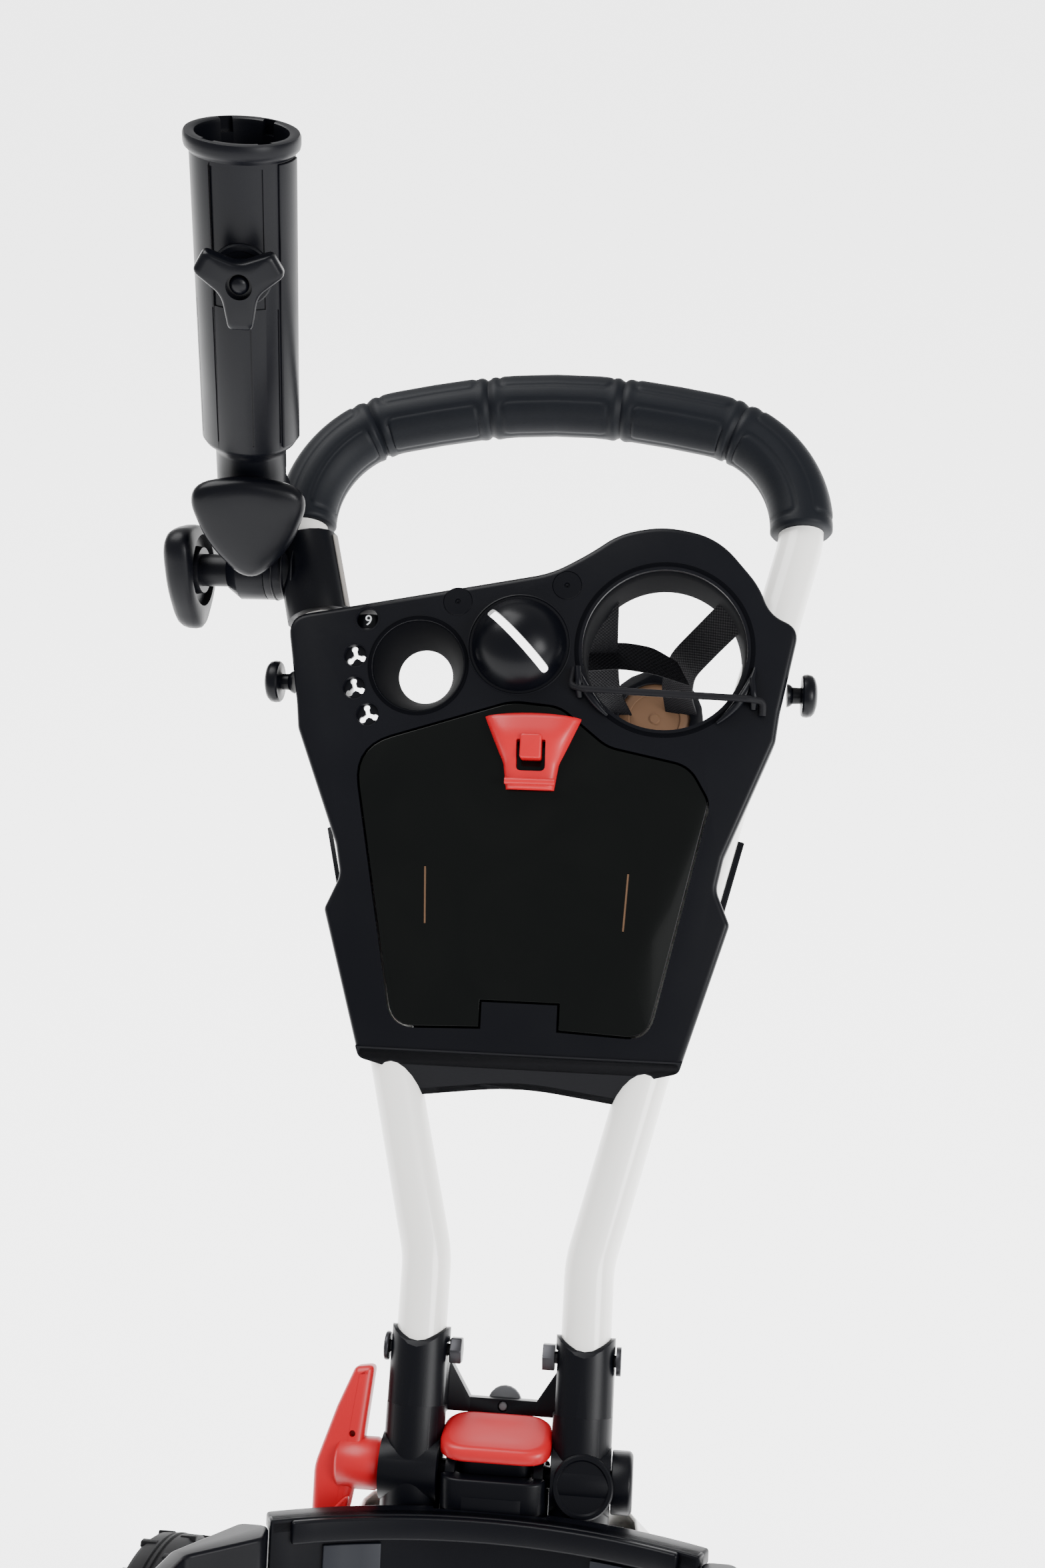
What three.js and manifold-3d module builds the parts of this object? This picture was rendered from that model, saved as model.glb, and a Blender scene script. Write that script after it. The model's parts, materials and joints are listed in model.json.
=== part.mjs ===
// A three-wheel golf push cart, opened out and ready for a bag.
// Millimetres, +Z up, +Y towards the person who pushes it, origin on the ground under the middle of the cart.
import * as THREE from 'three';
import { mergeVertices } from 'three/addons/utils/BufferGeometryUtils.js';
import Module from 'manifold-3d';

const wasm = await Module();
wasm.setup();

// ---- driving dimensions --------------------------------------------------------------------------------

const rad = THREE.MathUtils.degToRad;
const both = [['left', -1], ['right', 1]];
const gap = 0.4;                 // air between neighbouring pieces
const runningGap = 0.8;          // air beside a piece that turns

const foldHeight = 700;          // handle hinge axis above the ground
const foldForward = 67.24;       // how far behind the middle of the cart that axis lies
const handleLean = rad(39);      // handle plane above the horizontal, rising towards the user
const frameLean = rad(50);       // main tube above the horizontal, falling towards the front wheel

const handleTube = { radius: 12.7, wall: 1.6, halfGap: 42, bendAt: 102, cornerX: 158.9, cornerUp: 559.5, top: 592.2 };
const legSplay = (handleTube.cornerX - handleTube.halfGap) / (handleTube.cornerUp - handleTube.bendAt);
const grip = { radius: 17.6, start: 505 };

const consoleTilt = rad(5);      // console face against the plane of the handle tubes
const consoleAt = { up: 274, out: 22 };
const skirt = 24;                // depth of the console's side wall
const skin = 3;                  // wall thickness of the console
const cup = { x: 69, y: 149, radius: 43, depth: 38 };
const cone = { x: -64.7, y: 136.6, top: 26, bottom: 15.2, depth: 28 };
const dome = { x: -9.8, y: 149.6, radius: 26, height: 20, slot: 4.6, slotLength: 46 };
const numberWindow = { x: -94.6, y: 162.1, radius: 6 };
const teeHoles = [[-99.9, 141.2], [-99.4, 123.2], [-91, 108.5]];
const screwCaps = { left: [-44.8, 173.1], right: [14.9, 183.5] };
const lidHinge = { y: -50, below: 1.3 };

const mainTube = { radius: 19, wall: 2, top: -52, end: -612 };
const blockHalf = 26.8;
const sleeve = { radius: 15, top: 67, dip: 9, boltAt: 56 };
const fork = { axleAt: -757, halfGap: 29, arm: 9 };
const frontWheel = { radius: 120, width: 38 };
const rearWheel = { radius: 146, width: 40, x: 300, back: 68 };
const wheelSides = 36;
const rearLeg = { radius: 12.7, topX: 64, topUp: -42, topOut: -32, endX: 256 };

const umbrella = { radius: 26.2, bore: 23, base: 30, length: 169.5, knobUp: 137, lean: rad(6.5), turn: rad(9.5) };
const umbrellaPivot = { x: -167.6, back: 373.9, up: 344.8 };
const pitchAxis = { up: 476, out: 2 };

// ---- finishes ------------------------------------------------------------------------------------------

const finish = (color, roughness, metalness = 0) => new THREE.MeshStandardMaterial({ color, roughness, metalness });
const whitePaint = finish(0xece9e4, 0.25);
const blackPlastic = finish(0x17181d, 0.55);
const softGrip = finish(0x1a1c22, 0.7);
const redPlastic = finish(0xd8262e, 0.35);
const smokedLid = finish(0x0c0d10, 0.12);
const webbing = finish(0x111216, 0.9);
const rubber = finish(0x141518, 0.8);
const steel = finish(0x9a9da1, 0.35, 0.9);
const greyPlastic = finish(0x8d9095, 0.5);

// ---- frames that the pieces are placed in --------------------------------------------------------------

const cart = new THREE.Group();
const atFold = new THREE.Group();
atFold.position.set(0, foldForward, foldHeight);
cart.add(atFold);

const handleFrame = new THREE.Group();   // x across, y up the handle from the hinge axis, z out of its face
handleFrame.rotation.x = handleLean;
const mainFrame = new THREE.Group();     // x across, y up the main tube, z towards the bag
mainFrame.rotation.x = frameLean;
const upright = new THREE.Group();       // level, with the hinge axis as its origin
atFold.add(handleFrame, mainFrame, upright);

const consoleFrame = new THREE.Group();  // z = 0 is the console's face
consoleFrame.position.set(0, consoleAt.up, consoleAt.out);
consoleFrame.rotation.x = consoleTilt;
handleFrame.add(consoleFrame);

// ---- helpers -------------------------------------------------------------------------------------------

function piece(name, geometry, material, parent) {
  const mesh = new THREE.Mesh(geometry, material);
  mesh.name = name;
  parent.add(mesh);
  return mesh;
}

function toSolid(geometry) {
  const bare = new THREE.BufferGeometry();
  bare.setAttribute('position', geometry.getAttribute('position').clone());
  if (geometry.index) bare.setIndex(geometry.index.clone());
  const merged = mergeVertices(bare, 1e-4);
  return new wasm.Manifold(new wasm.Mesh({
    numProp: 3,
    vertProperties: new Float32Array(merged.getAttribute('position').array),
    triVerts: new Uint32Array(merged.index.array),
  }));
}

function toGeometry(manifold) {
  const mesh = manifold.getMesh();
  const geometry = new THREE.BufferGeometry();
  geometry.setAttribute('position', new THREE.BufferAttribute(new Float32Array(mesh.vertProperties), 3));
  geometry.setIndex(new THREE.BufferAttribute(new Uint32Array(mesh.triVerts), 1));
  return geometry;
}

// Joins the first list of geometries and cuts the second list away.
function shaped(joined, cut = []) {
  let result = toSolid(joined[0]);
  for (const more of joined.slice(1)) result = result.add(toSolid(more));
  for (const less of cut) result = result.subtract(toSolid(less));
  return toGeometry(result);
}

// A round bar along one axis, from low to high on that axis, centred on the other two coordinates.
function bar(axis, radius, low, high, centre = [0, 0, 0], sides = 24) {
  const geometry = new THREE.CylinderGeometry(radius, radius, high - low, sides);
  if (axis === 'x') geometry.rotateZ(-Math.PI / 2);
  if (axis === 'z') geometry.rotateX(Math.PI / 2);
  const middle = (low + high) / 2;
  const at = { x: [middle, centre[1], centre[2]], y: [centre[0], middle, centre[2]], z: [centre[0], centre[1], middle] };
  return geometry.translate(...at[axis]);
}

function block(low, high) {
  const size = low.map((value, i) => high[i] - value);
  const middle = low.map((value, i) => (high[i] + value) / 2);
  return new THREE.BoxGeometry(...size).translate(...middle);
}

// A turned shape about +Z through [x, y]; the profile is a list of [radius, height].
function turned(profile, sides = 24, x = 0, y = 0, z = 0) {
  const points = profile.map(([r, h]) => new THREE.Vector2(r, h));
  return new THREE.LatheGeometry(points, sides).rotateX(Math.PI / 2).translate(x, y, z);
}

// The same turned shape with its axis along +X.
function turnedAcross(profile, sides = 24, start = 0) {
  const points = profile.map(([r, h]) => new THREE.Vector2(r, h));
  return new THREE.LatheGeometry(points, sides, start).rotateZ(-Math.PI / 2);
}

// A closed outline from corners [x, y, rounding radius].
function outline(corners) {
  const shape = new THREE.Shape();
  corners.forEach(([x, y, round = 0], i) => {
    const here = new THREE.Vector2(x, y);
    const [px, py] = corners.at(i - 1);
    const [nx, ny] = corners[(i + 1) % corners.length];
    const back = new THREE.Vector2(px, py).sub(here);
    const ahead = new THREE.Vector2(nx, ny).sub(here);
    const half = back.angleTo(ahead) / 2;
    const reach = Math.min(round / Math.tan(half), back.length() * 0.49, ahead.length() * 0.49);
    const from = here.clone().addScaledVector(back.normalize(), reach);
    const to = here.clone().addScaledVector(ahead.normalize(), reach);
    if (i === 0) shape.moveTo(from.x, from.y);
    else shape.lineTo(from.x, from.y);
    if (reach > 0) shape.quadraticCurveTo(x, y, to.x, to.y);
  });
  shape.closePath();
  return shape;
}

// Moves every side of a closed outline outwards by distance, or inwards when it is negative.
function offset(shape, distance, curveSegments = 4) {
  const shortest = 1.2;
  const all = shape.getPoints(curveSegments);
  const points = all.filter((here, i) => here.distanceTo(all.at(i - 1)) > shortest);
  const outward = THREE.ShapeUtils.isClockWise(points) ? 1 : -1;
  const moved = points.map((here, i) => {
    const back = here.clone().sub(points.at(i - 1)).normalize();
    const ahead = points[(i + 1) % points.length].clone().sub(here).normalize();
    const normal = new THREE.Vector2(-(back.y + ahead.y), back.x + ahead.x).normalize();
    const stretch = 1 / Math.max(0.6, Math.sqrt((1 + back.dot(ahead)) / 2));
    return here.clone().addScaledVector(normal, outward * distance * stretch);
  });
  return new THREE.Shape(moved);
}

function slab(shape, low, high, curveSegments = 4) {
  const settings = { depth: high - low, bevelEnabled: false, curveSegments };
  return new THREE.ExtrudeGeometry(shape, settings).translate(0, 0, low);
}

// A shape drawn in the side view (first coordinate along Y, second along Z) and run across X.
function sideSlab(shape, low, high, curveSegments = 5) {
  const turn = new THREE.Matrix4().makeBasis(
    new THREE.Vector3(0, 1, 0), new THREE.Vector3(0, 0, 1), new THREE.Vector3(1, 0, 0));
  return slab(shape, low, high, curveSegments).applyMatrix4(turn);
}

// A shape drawn in the plan view of the main frame (across, out) and run along the tube.
function planSlab(shape, low, high, curveSegments = 5) {
  const turn = new THREE.Matrix4().makeBasis(
    new THREE.Vector3(1, 0, 0), new THREE.Vector3(0, 0, 1), new THREE.Vector3(0, -1, 0));
  return slab(shape, -high, -low, curveSegments).applyMatrix4(turn);
}

// Points along straight runs that are joined by arcs; corners are [x, y, z, radius].
function roundedRun(corners, step = rad(20)) {
  const at = corners.map(([x, y, z]) => new THREE.Vector3(x, y, z));
  const points = [at[0]];
  for (let i = 1; i < at.length - 1; i += 1) {
    const back = at[i - 1].clone().sub(at[i]).normalize();
    const ahead = at[i + 1].clone().sub(at[i]).normalize();
    const half = back.angleTo(ahead) / 2;
    const radius = corners[i][3];
    const middle = back.clone().add(ahead).normalize();
    const centre = at[i].clone().addScaledVector(middle, radius / Math.sin(half));
    const start = at[i].clone().addScaledVector(back, radius / Math.tan(half)).sub(centre);
    const turn = Math.PI - 2 * half;
    const axis = back.clone().cross(ahead).normalize();
    const count = Math.max(2, Math.ceil(turn / step));
    for (let k = 0; k <= count; k += 1) {
      points.push(start.clone().applyAxisAngle(axis, -turn * (k / count)).add(centre));
    }
  }
  points.push(at.at(-1));
  return points;
}

// A curve that passes its points one by one, so that a swept section has a mitred ring at each.
class Stations extends THREE.Curve {
  constructor(points) {
    super();
    this.points = points;
  }

  getPoint(t) {
    const place = t * (this.points.length - 1);
    const i = Math.min(Math.floor(place), this.points.length - 2);
    return this.points[i].clone().lerp(this.points[i + 1], place - i);
  }

  getTangent(t) {
    const i = Math.round(t * (this.points.length - 1));
    const before = this.points[Math.max(i - 1, 0)];
    const after = this.points[Math.min(i + 1, this.points.length - 1)];
    return after.clone().sub(before).normalize();
  }

  getUtoTmapping(u) {
    return u;
  }
}

function swept(section, points) {
  const settings = { steps: points.length - 1, extrudePath: new Stations(points), curveSegments: 3 };
  return new THREE.ExtrudeGeometry(section, settings);
}

function ringSection(outer, inner, sides = 12) {
  const circle = (radius) => Array.from({ length: sides }, (_, i) => {
    const angle = (2 * Math.PI * (i + 0.5)) / sides;
    return new THREE.Vector2(radius * Math.cos(angle), radius * Math.sin(angle));
  });
  const section = new THREE.Shape(circle(outer));
  if (inner) section.holes.push(new THREE.Path(circle(inner)));
  return section;
}

const splayedX = (up) => handleTube.halfGap + (up - handleTube.bendAt) * legSplay;

// ---- handle tube and grip ------------------------------------------------------------------------------

const sleeveFloor = 22;
const handleRoute = roundedRun([
  [handleTube.halfGap, sleeveFloor, 0],
  [handleTube.halfGap, handleTube.bendAt, 0, 60],
  [handleTube.cornerX, handleTube.cornerUp, 0, 66],
  [0, handleTube.top, 0, 345],
  [-handleTube.cornerX, handleTube.cornerUp, 0, 66],
  [-handleTube.halfGap, handleTube.bendAt, 0, 60],
  [-handleTube.halfGap, sleeveFloor, 0],
]);
const sleeveBoltHole = bar('x', 3.5, -70, 70, [0, sleeve.boltAt, 0], 10);
piece('handle_tube', shaped([swept(ringSection(handleTube.radius, handleTube.radius - handleTube.wall), handleRoute)],
  [sleeveBoltHole]), whitePaint, handleFrame);

// The grip is slid over the top of the tube, from one leg to the other.
const gripRoute = handleRoute.filter((point) => point.y > grip.start);
piece('grip', swept(ringSection(grip.radius, handleTube.radius + 2 * gap), gripRoute), softGrip, handleFrame);

// ---- console -------------------------------------------------------------------------------------------

const consoleSide = [
  [131.5, 116, 20], [129.5, 100, 12], [104, 37, 14], [100.5, 20, 12], [108, 2, 4], [84, -75.5, 3], [69, -79, 10],
  [55, -93.5, 5],
];
const mirrored = (corners) => corners.map(([x, y, round]) => [-x, y, round]).reverse();
const consoleOutline = outline([
  [-140, 163, 12], [6, 191, 50], [26, 203, 12], [40, 214, 24], [66, 219, 30], [98, 213, 30], [121, 182, 24],
  [124, 170, 8], [141, 163, 12], ...consoleSide, [0, -86.5, 150], ...mirrored(consoleSide),
]);
const lidTab = { half: 21, top: -42.5 };
const lidOutline = outline([
  [-67, -58, 14], [-97, 90, 24], [-12, 117.5, 30], [14, 115, 20], [40, 94, 24], [84, 85, 18], [95, 66, 12],
  [67, -58.5, 14], [lidTab.half, -56.5], [lidTab.half, lidTab.top], [-lidTab.half, lidTab.top],
  [-lidTab.half, -56.5],
]);

// Straight bar that fills the splayed leg's channel, in the console's own frame.
function legChannel(side) {
  const radius = handleTube.radius + gap;
  const low = 120;
  const high = 540;
  const from = new THREE.Vector3(side * splayedX(low), low, 0);
  const to = new THREE.Vector3(side * splayedX(high), high, 0);
  return swept(ringSection(radius, 0, 16), [from, to])
    .translate(0, -consoleAt.up, -consoleAt.out)
    .rotateX(-consoleTilt);
}

function domeCap(radius, height) {
  const ball = (radius * radius + height * height) / (2 * height);
  const profile = [[0, -skin]];
  profile.push([radius, -skin]);
  for (let k = 0; k <= 5; k += 1) {
    const angle = (1 - k / 5) * Math.asin(radius / ball);
    profile.push([ball * Math.sin(angle), ball * Math.cos(angle) - ball + height]);
  }
  return turned(profile, 24, dome.x, dome.y);
}

function consoleGeometry() {
  const floorTop = -21;
  const through = [-60, 30];
  const slot = block([-dome.slot / 2, -dome.slotLength / 2, through[0]], [dome.slot / 2, dome.slotLength / 2, through[1]])
    .rotateZ(rad(45)).translate(dome.x, dome.y, 0);
  return shaped(
    [
      shaped([slab(consoleOutline, -skirt, 0)], [slab(offset(consoleOutline, -skin), -skirt - 1, -skin)]),
      slab(offset(lidOutline, skin + 1), -skirt, -skin / 2),
      bar('z', cup.radius + skin, -cup.depth, -1, [cup.x, cup.y, 0], 32),
      turned([[0, -cone.depth], [cone.bottom + 2.4, -cone.depth], [cone.top + 2.4, -1], [0, -1]], 24, cone.x, cone.y),
      bar('z', dome.radius + 2, -skin, 0, [dome.x, dome.y, 0]),
      domeCap(dome.radius, dome.height),
    ],
    [
      slab(offset(lidOutline, 1), floorTop, 1),
      bar('z', cup.radius, ...through, [cup.x, cup.y, 0], 32),
      turned([[0, -cone.depth - 1], [cone.bottom, -cone.depth - 1], [cone.bottom, -cone.depth],
        [cone.top, 0], [cone.top, 1], [0, 1]], 24, cone.x, cone.y),
      domeCap(dome.radius - 2.4, dome.height - 2.4).translate(0, 0, -0.2),
      slot,
      bar('z', numberWindow.radius, ...through, [numberWindow.x, numberWindow.y, 0], 16),
      ...teeHoles.map(([x, y]) => bar('z', 4.6, ...through, [x, y, 0], 12)),
      ...Object.values(screwCaps).map(([x, y]) => bar('z', 8, -1.6, 1, [x, y, 0], 16)),
      bar('x', 1.9, -lidTab.half - 1, -lidTab.half + 4, [0, lidHinge.y, -lidHinge.below], 8),
      bar('x', 1.9, lidTab.half - 4, lidTab.half + 1, [0, lidHinge.y, -lidHinge.below], 8),
      legChannel(-1),
      legChannel(1),
    ],
  );
}
piece('console', consoleGeometry(), blackPlastic, consoleFrame);

for (const [side, [x, y]] of Object.entries(screwCaps)) {
  const cap = turned([[0, -1.2], [7.6, -1.2], [7.6, -0.2], [1.6, -0.2], [1.2, 0.5], [0, 0.5]], 16, x, y);
  piece(`screw_cap_${side}`, cap, blackPlastic, consoleFrame);
}

// The number drum shows one digit in the window and is turned by thumb from below.
const drum = { radius: 12, half: 4.2, below: skin + 2 * gap + 12 };
piece('number_drum', bar('y', drum.radius, -drum.half, drum.half, [0, 0, 0], 20)
  .translate(numberWindow.x, numberWindow.y - 0.4, -drum.below), greyPlastic, consoleFrame);

const lidThickness = 2.6;
const lidPins = both.map(([, side]) => bar('x', 1.3, side * lidTab.half - 2.6, side * lidTab.half + 2.6,
  [0, lidHinge.y, -lidHinge.below], 8));
piece('lid', shaped([slab(lidOutline, -lidThickness, 0, 4), ...lidPins]), smokedLid, consoleFrame);

const latchOutline = outline([[-26, 108, 3], [-17, 92, 5], [-12, 70.5, 2], [12, 70.5, 2], [18, 92, 5], [26, 108, 3],
  [0, 111, 40]]);
const latchWindow = outline([[-6.6, 94, 1], [-6.6, 79.5, 2], [7, 79.5, 2], [7, 94, 1]]);
piece('lid_latch', shaped([slab(latchOutline, 0.4, 6)], [slab(latchWindow, -2, 8)]), redPlastic, consoleFrame);

for (const [side, sign] of both) {
  const hook = turnedAcross([[0, 0], [5, 0], [4.4, 7], [10.6, 7.6], [11.6, 10], [10.6, 14], [6, 16], [0, 16.4]], 16);
  if (sign < 0) hook.rotateZ(Math.PI);
  hook.translate(sign * 135.6, 128, -12);
  piece(`cord_hook_${side}`, hook, blackPlastic, consoleFrame);

  // Half shell behind the leg that clamps the console's ear to it.
  const inner = handleTube.radius + gap;
  const low = 268;
  const high = 330;
  const along = (up) => new THREE.Vector3(sign * splayedX(up), up, 0);
  const shellRun = [along(low), along(high)];
  const overRun = [along(low - 5), along(high + 5)];
  const shell = shaped(
    [swept(ringSection(inner + 4, 0, 16), shellRun)],
    [swept(ringSection(inner, 0, 16), overRun), block([-200, 200, -4.2], [200, 400, 30])],
  );
  piece(`console_clamp_${side}`, shell, blackPlastic, handleFrame);
}

// ---- bottle holder under the cup opening ---------------------------------------------------------------

const band = { y: 123.5, above: 6, radius: 2, reach: 48 };
piece('bottle_band', swept(ringSection(band.radius, 0, 8), roundedRun([
  [cup.x - band.reach, band.y + 9, 2.6], [cup.x - band.reach + 3, band.y + 1.6, band.above, 4],
  [cup.x + band.reach - 3, band.y - 1.6, band.above, 4], [cup.x + band.reach, band.y - 9, 2.6],
], rad(40))), rubber, consoleFrame);

// Webbing straps hang from the cup's wall and carry the base ring.
const strap = { width: 20, thickness: 1.6, ringDrop: 128 };
const baseRing = { radius: 30, x: cup.x - 6, y: cup.y - 12 };
piece('base_ring', turned([[22, -4], [baseRing.radius, -4], [baseRing.radius, 4], [22, 4], [22, -4]], 24,
  baseRing.x, baseRing.y, -strap.ringDrop), blackPlastic, consoleFrame);
function hangingStrap(name, turn) {
  const outward = cup.radius - 4.8;
  const profile = outline([[outward, -10], [outward, -34], [baseRing.radius + 6.4, -96], [baseRing.radius + 2.6, -135],
    [baseRing.radius + 1, -135], [baseRing.radius + 4.6, -96], [outward - strap.thickness, -34],
    [outward - strap.thickness, -10]]);
  const flat = slab(profile, -strap.width / 2, strap.width / 2).rotateX(Math.PI / 2).rotateZ(turn);
  const position = flat.getAttribute('position');
  for (let i = 0; i < position.count; i += 1) {
    const share = Math.min(1, Math.max(0, (-34 - position.getZ(i)) / 62));
    position.setXY(i, position.getX(i) + cup.x + (baseRing.x - cup.x) * share,
      position.getY(i) + cup.y + (baseRing.y - cup.y) * share);
  }
  piece(name, flat, webbing, consoleFrame);
}
hangingStrap('bottle_strap_left', rad(172));
hangingStrap('bottle_strap_right', rad(40));
hangingStrap('bottle_strap_front', rad(-75));

// ---- hinge: yoke on the handle, block on the frame -----------------------------------------------------

const pivotHole = 5.4;
const bridge = { low: 25, high: 32, back: -25, front: -17 };
const bridgeMiddle = (bridge.low + bridge.high) / 2;
// A sleeve whose rim is high at its two sides and dips at its front and back, on a barrel round the pivot.
function sleeveGeometry(sign) {
  const x = sign * handleTube.halfGap;
  const [inner, outer] = [sign * 28.2, sign * 57].sort((a, b) => a - b);
  const rimCurve = (sleeve.radius ** 2 + sleeve.dip ** 2) / (2 * sleeve.dip);
  const rimCentre = sleeve.top - rimCurve;
  const body = toSolid(bar('y', sleeve.radius, 0, sleeve.top + 1, [x, 0, 0], 20));
  const limit = toSolid(block([x - 20, -1, -20], [x + 20, rimCentre, 20]))
    .add(toSolid(bar('x', rimCurve, x - 20, x + 20, [0, rimCentre, 0], 28)));
  return shaped([toGeometry(body.intersect(limit)), bar('x', 16, inner, outer, [0, 0, 0], 20)]);
}

function yokeGeometry() {
  const parts = [block([-30, bridge.low, bridge.back], [30, bridge.high, bridge.front])];
  const cuts = [bar('x', pivotHole, -80, 80, [0, 0, 0], 16), sleeveBoltHole,
    bar('z', 2.8, bridge.back - 1, bridge.front + 1, [0, bridgeMiddle, 0], 10)];
  for (const [, sign] of both) {
    const x = sign * handleTube.halfGap;
    parts.push(sleeveGeometry(sign));
    parts.push(slab(new THREE.Shape([[34, bridge.low], [34, 50], [29, 50], [17, bridge.high - 0.5], [17, bridge.low]]
      .map(([px, py]) => new THREE.Vector2(sign * px, py))), bridge.back, -6));
    cuts.push(bar('y', handleTube.radius + gap, sleeveFloor - gap, sleeve.top + 5, [x, 0, 0], 20));
  }
  return shaped(parts, [...cuts, block([-28.2, 4, -16.6], [28.2, 60, 20])]);
}
piece('handle_yoke', yokeGeometry(), blackPlastic, handleFrame);
piece('bridge_bolt', shaped([bar('z', 9, bridge.back - 5, bridge.back - gap, [0, bridgeMiddle, 0], 20),
  bar('z', 2.4, bridge.back - 1, bridge.front - 1, [0, bridgeMiddle, 0], 10)]), greyPlastic, handleFrame);

for (const [side, sign] of both) {
  const x = sign * handleTube.halfGap;
  const bolt = shaped([bar('x', 3, x - 18, x + 18, [0, sleeve.boltAt, 0], 10),
    bar('x', 7, x - sign * 22 - 3, x - sign * 22 + 3, [0, sleeve.boltAt, 0], 6)
      .translate(sign * 3.6, 0, 0),
    bar('x', 7, x + sign * 16.8 - 1.2, x + sign * 16.8 + 1.2, [0, sleeve.boltAt, 0], 16)]);
  piece(`sleeve_bolt_${side}`, bolt, steel, handleFrame);
}

// The push button slides along the main tube's line in an oval collar at the top of the hinge block. Its stem is
// forked round the pivot bolt, and pressing it frees the handle to fold forwards over the frame.
const button = { top: 24, thick: 12, halfWide: 27.6, halfDeep: 17, travel: 6 };
const lug = { inner: 19.6, outer: 24.2, radius: 11 };
const stem = { halfWide: 18, halfDeep: 9, end: -14, slot: 6 };
const oval = (halfWide, halfDeep, low, high) => planSlab(outline([[-halfWide, -halfDeep, halfDeep * 0.8],
  [halfWide, -halfDeep, halfDeep * 0.8], [halfWide, halfDeep, halfDeep * 0.8], [-halfWide, halfDeep, halfDeep * 0.8]]),
low, high);

const collarTop = -5;
function blockGeometry() {
  const lugs = both.flatMap(([, sign]) => {
    const [low, high] = [sign * lug.inner, sign * lug.outer].sort((a, b) => a - b);
    return [bar('x', lug.radius, low, high, [0, 0, 0], 20),
      block([low, -20, -lug.radius], [high, 0, lug.radius])];
  });
  return shaped(
    [
      oval(blockHalf, 20, -50, collarTop),
      block([-blockHalf, -98, -23], [blockHalf, -46, 23]),
      ...lugs,
    ],
    [
      oval(stem.halfWide + 1, stem.halfDeep + 1, stem.end - button.travel - 6, 40),
      bar('y', mainTube.radius + gap, -120, mainTube.top + gap, [0, 0, 0], 24),
      bar('x', pivotHole, -80, 80, [0, 0, 0], 16),
    ],
  );
}
piece('hinge_block', blockGeometry(), blackPlastic, mainFrame);

const slotLow = -stem.slot - 0.4;
const lugRoom = { x: lug.outer + 0.8, z: lug.radius - 0.8 };
const buttonCap = shaped([oval(button.halfWide, button.halfDeep, button.top - button.thick, button.top)],
  [block([-lugRoom.x, button.top - button.thick - 1, -lugRoom.z], [lugRoom.x, button.top - 4, lugRoom.z])]);
piece('push_button', shaped(
  [buttonCap, oval(stem.halfWide, stem.halfDeep, stem.end, button.top - 2)],
  [block([-60, slotLow, -stem.slot], [60, button.travel + stem.slot, stem.slot])],
), redPlastic, mainFrame);

piece('pivot_bolt', shaped([
  bar('x', 5, -78, 64, [0, 0, 0], 16),
  turnedAcross([[0, 57.6], [14.7, 57.6], [14.7, 66.5], [13, 68], [0, 68]], 20),
]), blackPlastic, mainFrame);

// Two-winged lever that turns on the left end of the pivot bolt and clamps the hinge.
const lever = { hub: 12.4, inner: -57.6, outer: -90, tip: 45, tail: -34 };
const leverWing = outline([[-66, lever.tip, 3], [-74, lever.tip, 6], [-86, 16, 20], [lever.outer, -12, 20],
  [-84, lever.tail, 10], [-68, lever.tail, 4], [-64, -8, 6], [-66, 12, 6]]);
piece('clamp_lever', shaped(
  [turnedAcross([[0, -80], [lever.hub, -80], [lever.hub, lever.inner], [0, lever.inner]], 20),
    slab(leverWing, -9, 9)],
  [bar('x', 5.4, -79, -50, [0, 0, 0], 16)],
), redPlastic, handleFrame);

// ---- bag bracket at the top ----------------------------------------------------------------------------

const cradle = { radius: 233, face: 30, half: 100, top: -10, bottom: -72, thick: 6 };
const blockFront = 23;
function arcBand(inner, thick, halfAngle, steps, centreOut) {
  const ring = (radius, from, to) => Array.from({ length: steps + 1 }, (_, i) => {
    const angle = from + ((to - from) * i) / steps;
    return new THREE.Vector2(radius * Math.sin(angle), centreOut - radius * Math.cos(angle));
  });
  return new THREE.Shape([...ring(inner, halfAngle, -halfAngle), ...ring(inner + thick, -halfAngle, halfAngle)]);
}

const cradleAngle = Math.asin(cradle.half / cradle.radius);
const cradleCentre = cradle.face + cradle.radius;
function cradleGeometry() {
  const band = planSlab(arcBand(cradle.radius, cradle.thick, cradleAngle, 12, cradleCentre), cradle.bottom, cradle.top);
  const rim = planSlab(arcBand(cradle.radius, 12, cradleAngle, 12, cradleCentre), cradle.top - 7, cradle.top);
  const foot = planSlab(arcBand(cradle.radius, 12, cradleAngle, 12, cradleCentre), cradle.bottom, cradle.bottom + 7);
  return shaped([band, rim, foot], [block([-blockHalf - 1, -100, 0], [blockHalf + 1, 30, blockFront + gap])]);
}
piece('bag_cradle', cradleGeometry(), blackPlastic, mainFrame);

const armHinge = { x: 108, out: 54 };
for (const [side, sign] of both) {
  const arm = outline([[-7, -7, 6], [8, -7, 6], [30, 28, 8], [34, 62, 8], [26, 64, 4], [22, 32, 8], [-7, 8, 6]]
    .map(([x, y, round]) => [sign * x, y, round]));
  const geometry = shaped([planSlab(arm, -66, -14).translate(sign * armHinge.x, 0, armHinge.out)]);
  piece(`bag_arm_${side}`, geometry, blackPlastic, mainFrame);
}

// ---- main tube, lower bracket, fork --------------------------------------------------------------------

piece('main_tube', swept(ringSection(mainTube.radius, mainTube.radius - mainTube.wall, 20),
  [new THREE.Vector3(0, mainTube.top, 0), new THREE.Vector3(0, mainTube.end, 0)]), whitePaint, mainFrame);

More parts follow.
